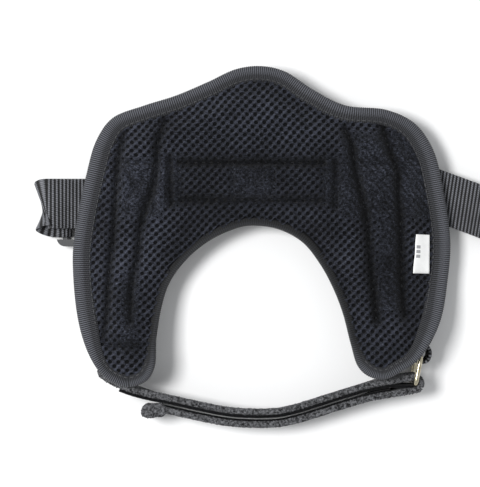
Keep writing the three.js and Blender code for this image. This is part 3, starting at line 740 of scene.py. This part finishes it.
def add_lining():
    """The holed face of the spacer mesh, one diamond of knit for each hole."""
    reach = np.arange(-26, 27)
    columns, rows = np.meshgrid(reach, np.arange(-44, 45))
    centres = np.stack([(columns * HOLE_PITCH + (rows % 2) * HOLE_PITCH / 2).ravel(),
                        (rows * HOLE_PITCH / 2).ravel()], axis=1)

    def warp(p):
        """The knit's rows wander as the cloth is pulled."""
        x, y = p[:, 0], p[:, 1]
        shift_x = 1.1 * np.sin(y / 21 + 0.6) + 0.35 * np.sin(y / 5.1 + x / 9)
        shift_y = 1.3 * np.sin(x / 27 + 0.4) + 0.35 * np.sin(x / 4.7 + y / 11)
        return p + np.stack([shift_x, shift_y], axis=1)

    placed = warp(centres)
    keep = inside(placed, OUTLINE[::4])
    centres, placed = centres[keep], placed[keep]
    deep = EDGE.distance(placed) > 3.4
    centres, placed = centres[deep], placed[deep]

    half = HOLE_PITCH / 2
    corner = np.array([(half, 0), (half / 2, half / 2), (0, half), (-half / 2, half / 2),
                       (-half, 0), (-half / 2, -half / 2), (0, -half), (half / 2, -half / 2)])
    angle = np.radians(np.arange(8) * 45)
    circle = np.stack([np.cos(angle), np.sin(angle)], axis=1)
    squeeze = crease(placed)
    patchy = 0.5 + wander(placed, 5.5, 0.5)
    fuzzy = np.clip(squeeze * 0.9 + box_cover(placed) * 0.95 + 0.12 * patchy, 0, 1)
    openness = np.clip(1.04 - 0.8 * fuzzy, 0.22, 1.0)
    rings = [(1.45, 0.04), (1.16, -0.06), (0.98, -0.4), (0.88, -1.1)]

    shared = (centres[:, None, :] + corner[None, :, :]).reshape(-1, 2)
    keys = np.round(shared * 4).astype(int)
    unique, index = np.unique(keys, axis=0, return_inverse=True)
    index = index.reshape(len(centres), 8)
    flat = [unique / 4.0]
    drop = [np.zeros(len(unique))]
    closed = [np.bincount(index.ravel(), np.repeat(fuzzy, 8)) / np.bincount(index.ravel())]
    faces = []
    base = len(unique)
    previous = index
    for radius, down in rings:
        spread = radius * (1.0 if radius > 1.2 else openness)
        spread = np.broadcast_to(np.asarray(spread, float), (len(centres),))
        points = centres[:, None, :] + circle[None, :, :] * spread[:, None, None]
        flat.append(points.reshape(-1, 2))
        drop.append(np.repeat(down * (1 - 0.8 * fuzzy), 8))
        closed.append(np.repeat(fuzzy, 8))
        current = base + np.arange(len(centres) * 8).reshape(-1, 8)
        for j in range(8):
            k = (j + 1) % 8
            faces.append(np.stack([previous[:, j], previous[:, k], current[:, k], current[:, j]], axis=1))
        previous = current
        base += len(centres) * 8
    pattern = np.concatenate(flat)
    drop = np.concatenate(drop)
    closed = np.concatenate(closed)
    ridge = 0.5 - 0.5 * np.cos(2 * np.pi * (pattern[:, 0] - pattern[:, 1]) / HOLE_PITCH)
    xy = warp(pattern)
    z = lining_height(xy) + 0.45 * ridge * (1 - 0.5 * closed) + drop
    # Painted light and shade: lighter on the raised diagonal ridges, darker down into the holes and along
    # the sewn creases.
    painted_shade = (0.42 + 1.05 * ridge * (1 - closed) + 0.5 * closed) * (1 + 0.9 * np.minimum(drop, 0))
    painted_shade = np.maximum(painted_shade, 0.06) * (1 - 0.95 * np.minimum(crease(xy) / 0.66, 1) ** 1.3)
    slanted = 0.5 - 0.5 * np.cos(2 * np.pi * (pattern[:, 0] + pattern[:, 1]) / HOLE_PITCH)
    painted_shade *= 1 - 0.55 * closed * smoothstep(34, 44, xy[:, 0]) * slanted
    # Painted shade: darker over the middle and towards the lower right, where the padding faces away from
    # the light.
    middle = smoothstep(52, 30, np.abs(xy[:, 0])) * smoothstep(46, 30, xy[:, 1])
    lower_right_shade = smoothstep(30, 75, xy[:, 0]) * smoothstep(15, -35, xy[:, 1])
    painted_shade *= 1 - 0.36 * middle - 0.34 * lower_right_shade
    shade = np.column_stack([painted_shade, closed, closed, np.ones(len(xy))])
    obj = mesh_object("mesh_lining_face", np.column_stack([xy, z]), np.concatenate(faces), LINING,
                      shade=shade)
    finish_piece(obj, "pad", ["mesh_lining"])


def box_cover(xy):
    """How much a point lies in one of the boxed and tightly quilted places."""
    cover = np.zeros(len(xy))
    for x0, x1, y0, y1 in CLOSED_PLACES:
        inner_x = np.minimum(xy[:, 0] - x0, x1 - xy[:, 0])
        inner_y = np.minimum(xy[:, 1] - y0, y1 - xy[:, 1])
        cover = np.maximum(cover, smoothstep(-2, 3, np.minimum(inner_x, inner_y)))
    return cover


def pad_rows(inset, count, across):
    """Chords across the pad, closer together at the tips, as an array of points seen from above."""
    moved = OUTLINE + inward(OUTLINE) * inset
    closed = np.concatenate([moved, moved[:1]])
    at = lengths(closed)
    even = np.linspace(0.012, 0.988, count)
    eased = (1 - np.cos(np.pi * even)) / 2
    u = 0.6 * even + 0.4 * eased
    outer = along(closed, TIP_SHARE * u * at[-1])
    neck = along(closed, (1 - (1 - TIP_SHARE) * u) * at[-1])
    t = np.linspace(0, 1, across)
    t = 0.75 * t + 0.25 * (1 - np.cos(np.pi * t)) / 2
    return neck[:, None, :] * (1 - t)[None, :, None] + outer[:, None, :] * t[None, :, None]


def layer(name, material, inset, count, across, low, high):
    """A closed layer of the pad between two height functions."""
    rows = pad_rows(inset, count, across)
    flat = rows.reshape(-1, 2)
    top = np.column_stack([flat, high(flat)]).reshape(count, across, 3)
    bottom = np.column_stack([flat, low(flat)]).reshape(count, across, 3)
    sections = np.concatenate([top, bottom[:, ::-1]], axis=1)
    faces = [tuple(f) for f in grid_faces(count, 2 * across, False)]
    for row, flip in ((0, 1), (count - 1, -1)):
        base = row * 2 * across
        for j in range(across - 1):
            quad = (base + j, base + j + 1, base + 2 * across - 2 - j, base + 2 * across - 1 - j)
            faces.append(quad[::flip])
    obj = mesh_object(name, sections.reshape(-1, 3), faces, material)
    face_out(obj)
    return obj


def add_pad_layers():
    """The padding with the lining's dark backing, and the outer cloth under it."""
    core = layer("pad_core", BACKING, 2.6, 230, 70,
                 lambda p: pad_height(p) - 0.3, lambda p: lining_height(p) - 0.75)
    finish_piece(core, "pad", ["foam_padding"])
    shell = layer("outer_cloth_shell", SHELL, 2.6, 150, 30,
                  lambda p: pad_height(p) - 1.5, lambda p: pad_height(p) - 0.6)
    finish_piece(shell, "pad", ["outer_shell"])


def add_binding():
    """Ribbed grosgrain tape folded round the edge: a flat lip, a full roll and the lip underneath."""
    around = RAIL_LENGTHS[-1]
    ribs = int(round(around / TAPE_RIB))
    line = evenly(RAIL_DENSE, around / (ribs * 4), closed=True)
    inner = inward(line)
    width = lip_width(line)
    neck = 1 - smoothstep(3.6, 6.4, width)
    # share of the lip's width, millimetres beyond it, height, and the painted light and shade there: darker
    # on the flat lip, lighter on the roll's crest
    shape = [(1.0, 0, 1.7, .3), (1.0, -0.3, 2.45, .4), (0.82, 0, 2.7, .38), (0.62, 0, 2.75, .42),
             (0.5, 0, 2.95, .9), (0.34, 0, 3.3, 1.1), (0.18, 0, 3.2, 1.1), (0.07, 0, 2.6, 1.0),
             (0, -0.1, 1.6, .85), (0, 0, 0.5, .8), (0, 0, -0.6, .8), (0, -0.4, -1.8, .8),
             (0, -1.3, -2.8, .8), (0, -2.6, -3.2, .8), (0, -5.6, -3.2, .8), (0, -6.0, -2.5, .8),
             (0, -4.0, -1.8, .8), (0, -1.6, -1.2, .8), (0, -1.6, 0.9, .8), (0.7, 0, 1.4, .8)]
    rib = np.abs(np.sin(np.pi * (np.arange(len(line)) + 0.5) / 4))
    sections = np.zeros((len(line), len(shape), 3))
    light = np.ones((len(line), len(shape), 4))
    for j, (share, out, up, tone) in enumerate(shape):
        distance = width * share - out
        push = 0.26 * (rib - 0.5) if 1 <= j <= 14 else np.zeros(len(line))
        lean = 1.0 if 8 <= j <= 11 else 0.0
        sections[:, j, :2] = line + inner * (distance - push * lean)[:, None]
        level = pad_height(line + inner * np.minimum(distance, 3)[:, None])
        sections[:, j, 2] = level + up - (0.9 * neck if up > 1 else 0) + push * (1 - lean) * np.sign(up)
        # Painted shade: on the neck side the tape's upper faces are darkened where the roll faces away from
        # the light.
        light[:, j, :3] = (tone * (1 - 0.72 * neck * (up > 0)))[:, None]
    along_line = np.arange(len(line)) * around / len(line)
    steps = [math.dist(a[1:3], b[1:3]) + 7 * abs(a[0] - b[0]) for a, b in zip(shape, shape[1:])]
    across = np.cumsum([0] + steps)
    uv = np.stack(np.broadcast_arrays(along_line[:, None], across[None, :]), axis=-1).reshape(-1, 2)
    obj = loft("binding_tape", sections, BINDING, closed=True, uv=uv, shade=light.reshape(-1, 4))
    finish_piece(obj, "pad", ["edge_binding"])
    seam = line + inner * (width - 0.95)[:, None]
    shown = np.flatnonzero(neck < 0.5)
    runs = [seam[run[::3]] for run in np.split(shown, np.flatnonzero(np.diff(shown) > 1) + 1)]
    thread = stitches("binding_thread_line", runs, lambda p: pad_height(p) + 2.7, EDGE_THREAD, 2.1, 0.55)
    finish_piece(thread, "pad")


def add_quilting():
    lines = [line for line, _ in CREASE_LINES + BOX_LINES]
    thread = stitches("quilting_thread", lines, lambda p: lining_height(p) + 0.12, THREADS)
    finish_piece(thread, "pad")


def add_label():
    """White woven tab caught under the right binding, its loose end curling up."""
    rows, cols = 26, 12
    points = []
    for i in range(rows):
        t = i / (rows - 1)
        y = -3.0 - 18.6 * t
        left = 74.4 - 1.5 * t - 0.12 * math.sin(t * 9)
        right = 81.3 - 0.1 * t
        for j in range(cols):
            s = j / (cols - 1)
            points.append((left + (right - left) * s, y - 0.25 * s, 0))
    points = np.array(points)
    low = lining_height(points[:, :2])
    t = np.repeat(np.arange(rows) / (rows - 1), cols)
    s = np.tile(np.arange(cols) / (cols - 1), rows)
    curl = 0.9 * smoothstep(0.72, 1.0, t) * (1 - 0.4 * s) - 0.7 * smoothstep(0.9, 1.0, t)
    points[:, 2] = low + 0.75 + 0.25 * s + curl
    lower = points - np.array([0, 0, 0.28])
    both = np.concatenate([points, lower])
    faces = list(map(tuple, grid_faces(rows, cols, False, False)))
    faces += [tuple(x + rows * cols for x in f[::-1]) for f in faces]
    rim = (list(range(cols)) + [i * cols + cols - 1 for i in range(1, rows)]
           + [(rows - 1) * cols + j for j in range(cols - 2, -1, -1)]
           + [i * cols for i in range(rows - 2, 0, -1)])
    for a, b in zip(rim, rim[1:] + rim[:1]):
        faces.append((a, a + rows * cols, b + rows * cols, b))
    obj = mesh_object("white_size_tab", both, faces, LABEL)
    face_out(obj)
    finish_piece(obj, "pad", ["size_label"])
    grid = points.reshape(rows, cols, 3)
    bars = []
    for start, stop in ((7, 9), (10, 12), (13, 15)):
        patch = grid[start:stop + 1, 1:5].reshape(-1, 3) + np.array([0, 0, 0.06])
        bars.append((patch, stop - start + 1))
    points = np.concatenate([bar for bar, _ in bars])
    faces, base = [], 0
    for bar, height in bars:
        faces += [tuple(x + base for x in f) for f in grid_faces(height, 4, False, False)]
        base += len(bar)
    ink = mesh_object("plain_tab_bars", points, faces, INK)
    finish_piece(ink, "pad")


# ---------------------------------------------------------------- webbing under the pad
def on_shell(points, drop):
    """A path on the pad's underside, the given distance below its middle surface."""
    flat = catmull(np.asarray(points, float))
    return np.column_stack([flat, pad_height(flat) - drop])


def add_shell_webbing():
    """The two long bands and the cross band, with the stitching seen from underneath."""
    left = [(-56.2, 45.6), (-61.9, 12.5), (-65.5, -14.9), (-67, -40.3), (-66.5, -56)]
    right = [(50.2, 45.5), (56.9, 17.3), (59.8, -14.9), (61.9, -40.3), (62.5, -56)]
    for name, points, node in (("left_leg_band", left, "left_leg_webbing"),
                               ("right_leg_band", right, "right_leg_webbing")):
        obj = band(name, on_shell(points, 2.6), (1, 0, 0), 18, WEB, WEBBING)
        finish_piece(obj, "pad", [node])
    rear = np.column_stack([np.linspace(-46, 38, 60), np.full(60, 22.5)])
    cross = band("cross_band", np.column_stack([rear, pad_height(rear) - 2.6]), (0, 1, 0), 18, WEB, WEBBING)
    finish_piece(cross, "pad", ["cross_webbing"])
    lines = []
    for x0, x1, y0, y1 in ((-42, -33, 15, 30), (25, 34, 15, 30)):
        a, b, c, d = (x0, y0), (x1, y0), (x1, y1), (x0, y1)
        lines += [np.array(pair, float) for pair in ((a, b), (b, c), (c, d), (d, a), (a, c), (d, b))]
    for points in (left, right):
        line = catmull(np.asarray(points, float))
        for offset in (-7, 7):
            lines.append(line + np.array([offset, 0]))
    thread = stitches("underside_stitching", lines, lambda p: pad_height(p) - 3.5, THREADS, lift=0)
    finish_piece(thread, "pad")


def add_handle():
    """A bridge of doubled webbing, sewn at both ends and resting on the floor between them."""
    reach = np.linspace(-37, 37, 180)
    xy = np.column_stack([HANDLE_X + reach, np.full(180, HANDLE_Y)])
    sewn = pad_height(xy) - HANDLE_DROP
    level = HANDLE_REST + (sewn - HANDLE_REST) * smoothstep(11, 31, np.abs(reach))
    path = np.column_stack([xy, level])
    obj = band("grab_handle_band", path, (0, 1, 0), 17.6, 2.3, WEBBING, rib_depth=0.14)
    finish_piece(obj, "pad", ["handle"])


def add_leash_ring():
    """A D ring hanging from its webbing loop."""
    pivot = np.array([HANDLE_X, 38.0, 14.4])
    lean = math.radians(38)
    away = np.array([0, math.cos(lean), -math.sin(lean)])
    normal = np.array([0, math.sin(lean), math.cos(lean)])
    side = np.array([1.0, 0, 0])
    bend = arc(pivot + away * 8, side, away, 12, 0, 180, 40)
    corner = 2.0
    start = arc(pivot + side * (12 - corner) + away * corner, side, away, corner, -90, 0, 8)
    end = arc(pivot - side * (12 - corner) + away * corner, -side, -away, corner, 0, 90, 8)
    path = evenly(np.concatenate([start, bend, end]), 0.6, closed=True)
    obj = wire("steel_d_ring", path, 3.2, normal, METAL, sides=24)
    finish_piece(obj, "leash_ring", ["leash_ring"])
    upper = [(HANDLE_X, y, 17.2) for y in np.linspace(15, 36.5, 20)]
    round_bar = arc(pivot, (0, 0, 1), (0, 1, 0), 2.8, 0, 180, 20)
    lower = [(HANDLE_X, 37.0, 11.7)] + [(HANDLE_X, y, 11.7 + (15.15 - 11.7) * smoothstep(35.5, 27, y))
                                        for y in np.linspace(35.5, 15, 24)]
    loop = band("leash_ring_band", np.concatenate([upper, round_bar, lower]), (1, 0, 0), 17.6, 1.6, WEBBING)
    finish_piece(loop, "pad", ["leash_ring_loop"])


# ---------------------------------------------------------------- chest strap, its rings and loops
LEFT_BAR, RIGHT_BAR = np.array((-73.5, -68.5)), np.array((74.3, -74.6))
LEFT_LOOP_BAR, RIGHT_LOOP_BAR = np.array((-70.5, -58.5)), np.array((76.8, -61.5))
STRAP_MIDDLE = (STRAP_LOW + STRAP_HIGH) / 2


def beside(line, offset):
    """The line moved to its left seen from above."""
    forward = directions(line)
    return line + np.stack([-forward[:, 1], forward[:, 0]], axis=1) * offset


def share_of(line, start, stop, count=160):
    """The stretch of a line between two shares of its length."""
    at = lengths(line)
    return along(line, np.linspace(start, stop, count) * at[-1])


def flat_arc(centre, radius, start, stop, steps=20):
    """An arc seen from above, between two angles in degrees."""
    angle = np.radians(np.linspace(start, stop, steps + 1))
    return centre + radius * np.stack([np.cos(angle), np.sin(angle)], axis=1)


def upright(line, z=STRAP_MIDDLE):
    """A line seen from above, raised to one height."""
    return np.column_stack([line, np.full(len(line), z)])


def leaning(line):
    """Up the strap's height. Between the rings its top edge leans a little towards the pad."""
    lean = 0.09 * smoothstep(64, 46, np.abs(line[:, 0]))
    return np.column_stack([np.zeros(len(line)), lean, np.ones(len(line))])


BALL = [(0, 0, 1)] + [(0.894 * math.cos(math.radians(a)), 0.894 * math.sin(math.radians(a)), 0.447)
                     for a in range(0, 360, 72)]
BALL += [(0.894 * math.cos(math.radians(a)), 0.894 * math.sin(math.radians(a)), -0.447)
         for a in range(36, 396, 72)] + [(0, 0, -1)]
BALL_FACES = [(0, 1 + k, 1 + (k + 1) % 5) for k in range(5)]
BALL_FACES += [(11, 6 + (k + 1) % 5, 6 + k) for k in range(5)]
BALL_FACES += [(1 + k, 6 + k, 1 + (k + 1) % 5) for k in range(5)]
BALL_FACES += [(1 + (k + 1) % 5, 6 + k, 6 + (k + 1) % 5) for k in range(5)]


def tufts(name, line, count, thick_at, z_top, depth=5.0):
    """Small knobs of pile crowding an upright strap's top edge and thinning out down its faces."""
    at = lengths(line)
    forward = directions(line)
    ball = np.array(BALL)
    points, faces = [], []
    for i in range(count):
        s = rng.uniform(0, at[-1])
        heading = np.array([np.interp(s, at, forward[:, k]) for k in range(2)])
        side = np.array([-heading[1], heading[0]])
        spot = along(line, np.array([s]))
        half = thick_at(s / at[-1]) / 2
        radius = rng.uniform(0.28, 0.52)
        if i % 3:
            offset, z = rng.uniform(-1, 1) * (half - 0.25), z_top - rng.uniform(0.2, 0.45)
        else:
            offset, z = rng.choice((-1, 1)) * (half - 0.12), z_top - 0.2 - depth * rng.uniform(0, 1) ** 1.8
        centre = np.array([*(spot[0] + side * offset), z])
        centre[1] += leaning(spot)[0, 1] * (z - STRAP_MIDDLE)
        stretch = np.array([rng.uniform(0.7, 1.3), rng.uniform(0.7, 1.3), rng.uniform(0.5, 0.9)]) * radius
        faces += [tuple(12 * i + k for k in f) for f in BALL_FACES]
        points.append(centre + ball * stretch)
    return mesh_object(name, np.concatenate(points), faces, PILE)


def pile_band(name, path, side, width, thick, material, roughness=0.16, step=0.35, across_steps=22,
              thick_at=None):
    """A brushed band: its faces are lumpy, with looped pile."""
    obj = band(name, path, side, width, thick, material, rib=0, across_steps=across_steps, step=step,
               thick_at=thick_at)
    mesh = obj.data
    normals = np.array([v.normal for v in mesh.vertices])
    co = np.array([v.co for v in mesh.vertices])
    mm = co * 1000
    lump = (np.sin(mm[:, 0] * 5.1 + 2 * np.sin(mm[:, 2] * 3.7)) * np.cos(mm[:, 1] * 4.7 + mm[:, 2] * 5.3)
            + 0.7 * rng.uniform(-1, 1, len(mm)))
    co += normals * (lump * roughness / 1000)[:, None]
    mesh.vertices.foreach_set("co", co.ravel())
    mesh.update()
    return obj


def add_chest_strap():
    """Inner run, outer run with its loose end, the pile on both, and the two fastener tapes."""
    pair = evenly(catmull(PAIR_LINE), 0.5)
    inner = beside(share_of(pair, 0.03, 0.97), STRAP_OFFSET)
    lead = np.array([(-63.5, -72.2), (-68.0, -69.0)])
    fold = flat_arc(LEFT_BAR, STRAP_OFFSET, 50, 245)
    leave = np.array([(-68.5, -74.8)])
    turn = flat_arc(RIGHT_BAR, STRAP_OFFSET, 92, -30, 12)
    back = flat_arc(RIGHT_BAR, STRAP_OFFSET, -34, -62, 4)
    height = STRAP_HIGH - STRAP_LOW
    path = evenly(catmull(np.concatenate([lead, fold[::4], leave, inner[::8], turn[::3]])), 0.4)
    obj = pile_band("chest_strap_inner_run", upright(path), leaning(path), height, STRAP_THICK, PILE)
    finish_piece(obj, "pad", ["chest_strap"])
    knobs = tufts("chest_strap_inner_pile", path, 2600, lambda t: STRAP_THICK, STRAP_HIGH)
    finish_piece(knobs, "pad")

    tail = beside(share_of(pair, 0.985, 0.0), STRAP_OFFSET)
    tail = evenly(tail, 0.4)
    tail[:, 1] -= 1.8 * smoothstep(0.92, 0.97, np.linspace(0, 1, len(tail)))
    tail = evenly(catmull(np.concatenate([back, tail[6::10], tail[-1:]])), 0.4)
    tab = 11.5 / lengths(tail)[-1]

    def tail_thick(t):
        """The folded tab at the loose end is thicker, with a rounded end."""
        grown = 1 + 1.3 * smoothstep(1 - tab * 1.05, 1 - tab * 0.8, t)
        rounded = np.sqrt(np.clip(1 - ((t - (1 - tab * 0.22)) / (tab * 0.235)) ** 2, 0.12, 1))
        return grown * np.where(t > 1 - tab * 0.22, rounded, 1.0)

    run = pile_band("chest_strap_outer_run", upright(tail), leaning(tail), height, STRAP_THICK, PILE,
                    thick_at=tail_thick)
    knobs = tufts("chest_strap_outer_pile", tail, 3200,
                  lambda t: STRAP_THICK * float(tail_thick(t)), STRAP_HIGH)
    for piece in (run, knobs):
        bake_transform(piece)
    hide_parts("chest_strap_tail")

    right_part = path[:, 0] > -67
    low_part = path[:, 1] < -73.5
    facing = path[right_part & low_part]
    loop_line = beside(facing, -2.3)
    loop = pile_band("loop_tape_strip", upright(loop_line, TAPE_MIDDLE), leaning(loop_line), 17.6, 1.4,
                     TAPE_LOOP, 0.06, 0.7, 12)
    finish_piece(loop, "pad", ["chest_loop_tape"])
    hook_line = beside(share_of(pair, 0.05, 0.93), -1.05)
    hook = pile_band("hook_tape_strip", upright(hook_line, TAPE_MIDDLE), leaning(hook_line), 17.4, 0.9,
                     TAPE_HOOK, 0.06, 0.7, 12)
    finish_piece(hook, "chest_tail", ["chest_hook_tape"])


def upright_ring(name, loop_bar, strap_bar, body, node):
    """A smooth steel ring standing on edge between its loop and the strap."""
    middle = np.array([*(loop_bar + strap_bar) / 2, RING_MIDDLE])
    across = np.array([*(strap_bar - loop_bar), 0.0])
    half_across = np.linalg.norm(across) / 2
    across /= np.linalg.norm(across)
    up = np.array([0, 0, 1.0])
    half_up = 22.9 / 2
    corner = 2.0
    path = []
    for u, v, start in ((1, 1, 0), (-1, 1, 90), (-1, -1, 180), (1, -1, 270)):
        centre = middle + across * u * (half_across - corner) + up * v * (half_up - corner)
        path.append(arc(centre, across, up, corner, start, start + 90, 8))
    path = evenly(np.concatenate(path), 0.5, closed=True)
    obj = wire(name, path, 2.4, np.cross(across, up), METAL, sides=24)
    finish_piece(obj, body, [node])


def tip_loop(name, bar, inward_direction, node, grow=1.0):
    """Webbing in a slack loop round the ring's bar, its two leaves stitched under the pad's tip."""
    d = np.array(inward_direction, float)
    d /= np.linalg.norm(d)
    n = np.array([-d[1], d[0]])
    turn = [(4.6, 2.6), (2.6, 3.9), (0.4, 4.05), (-1.5, 3.3), (-2.25, 1.6)]
    half = [(12.0, 1.0), (7.0, 1.05)] + [(a * grow, b * grow) for a, b in turn]
    shape = half + [(a, -b) for a, b in half[::-1]]
    path = np.array([bar + d * a + n * b for a, b in shape])
    line = evenly(catmull(path, per_segment=8), 0.3)
    obj = band(name, upright(line, RING_MIDDLE), (0, 0, 1), 17.4, 1.5, WEBBING)
    finish_piece(obj, "pad", [node])


def add_tip_hardware():
    upright_ring("left_tip_steel_ring", LEFT_LOOP_BAR, LEFT_BAR, "left_ring", "left_tip_ring")
    upright_ring("right_tip_steel_ring", RIGHT_LOOP_BAR, RIGHT_BAR, "right_ring", "right_tip_ring")
    tip_loop("left_tip_band", LEFT_LOOP_BAR, LEFT_LOOP_BAR - LEFT_BAR, "left_tip_loop")
    tip_loop("right_tip_band", RIGHT_LOOP_BAR, RIGHT_LOOP_BAR - RIGHT_BAR, "right_tip_loop", grow=1.12)


# ---------------------------------------------------------------- girth straps and buckles
def add_left_strap():
    """Webbing from under the pad that rolls over and down, then round the socket's bar."""
    anchor = [(-71, 14.4), (-78, 13.2), (-84, 11.6), (-90.6, 11.4)]
    roll = [(-94.5, 12.6), (-98, 13.9), (-101, 14.1), (-103.6, 13.2), (-104.9, 11.4), (-104.3, 9.4),
            (-102, 8.2), (-98.5, 7.6)]
    points = [(x, LEFT_STRAP_Y, z) for x, z in anchor]
    sides = [(0.1, 1, 0)] * len(anchor)
    for i, (x, z) in enumerate(roll, start=1):
        share = i / len(roll)
        y = LEFT_STRAP_Y - (LEFT_STRAP_Y - SOCKET_Y) * smoothstep(0.5, 1.0, share)
        points.append((x, y, z))
        slant = 0.1 - 0.34 * smoothstep(0, 0.35, share) * smoothstep(1.05, 0.8, share)
        sides.append((slant, 1, 0))
    bar = arc((-94.9, SOCKET_Y, 4.8), (1, 0, 0), (0, 0, 1), 2.6, 95, -95, 12)
    for p in bar[1:]:
        points.append(tuple(p))
        sides.append((0.02, 1, 0))
    for x, z in ((-98.8, 2.6), (-101.5, 3.2)):
        points.append((x, SOCKET_Y, z))
        sides.append((0, 1, 0))
    points, sides = np.array(points, float), np.array(sides, float)
    path = catmull(points, per_segment=16)
    knots = np.arange(len(points)) * 16
    dense = np.arange(len(path))
    side = np.stack([np.interp(dense, knots, sides[:, k]) for k in range(3)], axis=1)
    obj = band("left_girth_band", path, side, 24.0, WEB, WEBBING, rib_depth=0.18, across_steps=17)
    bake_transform(obj)
    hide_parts("left_strap_anchor", "left_girth_strap")


def add_right_strap():
    """Webbing that runs down to the floor, round the plug's bar and back on itself."""
    origin = np.array((97.2, 11.8, 0.0))
    turn = math.radians(-20)
    forward = np.array((math.cos(turn), math.sin(turn), 0))
    side = np.array((-math.sin(turn), math.cos(turn), 0))
    path = []
    for s in np.linspace(-27, -1, 27):
        path.append((s, 11.3 + 2.6 * smoothstep(6, 27, -s)))
    for s in np.linspace(0, 34, 35):
        path.append((s, 11.3 - 8.9 * smoothstep(0, 34, s)))
    path += [(s, 2.4) for s in np.linspace(36, 102, 20)]
    bend = arc((104, 5.0, 0), (1, 0, 0), (0, 1, 0), 2.6, -90, 90, 12)
    path += [(p[0], p[1]) for p in bend]
    path += [(100, 7.0), (94, 4.9), (88, 4.3)] + [(s, 4.3) for s in np.linspace(84, 46, 20)]
    line = np.array([origin + forward * s + np.array((0, 0, z)) for s, z in path])
    line = evenly(catmull(line, per_segment=4), 0.3)
    obj = band("right_girth_band", line, side, 24.6, WEB, WEBBING, rib_depth=0.18, across_steps=17, skew=0.2)
    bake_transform(obj)
    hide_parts("right_strap_anchor", "right_girth_strap")


def finish_moulded(node, width=0.35):
    """The moulded parts keep their CAD shape with rounded edges."""
    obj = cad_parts[node]
    obj.data.materials.clear()
    obj.data.materials.append(PLASTIC)
    rounding = obj.modifiers.new("rounded edges", "BEVEL")
    rounding.width = width / 1000
    rounding.segments = 3
    rounding.limit_method = "ANGLE"
    rounding.angle_limit = math.radians(35)
    rounding.harden_normals = True


# ---------------------------------------------------------------- build
add_pad_layers()
add_lining()
add_quilting()
add_binding()
add_label()
add_shell_webbing()
add_handle()
add_leash_ring()
add_chest_strap()
add_tip_hardware()
add_left_strap()
add_right_strap()
for moulded in ("buckle_socket", "buckle_plug", "strap_keeper"):
    finish_moulded(moulded)
add_floor()
add_light()
add_camera()
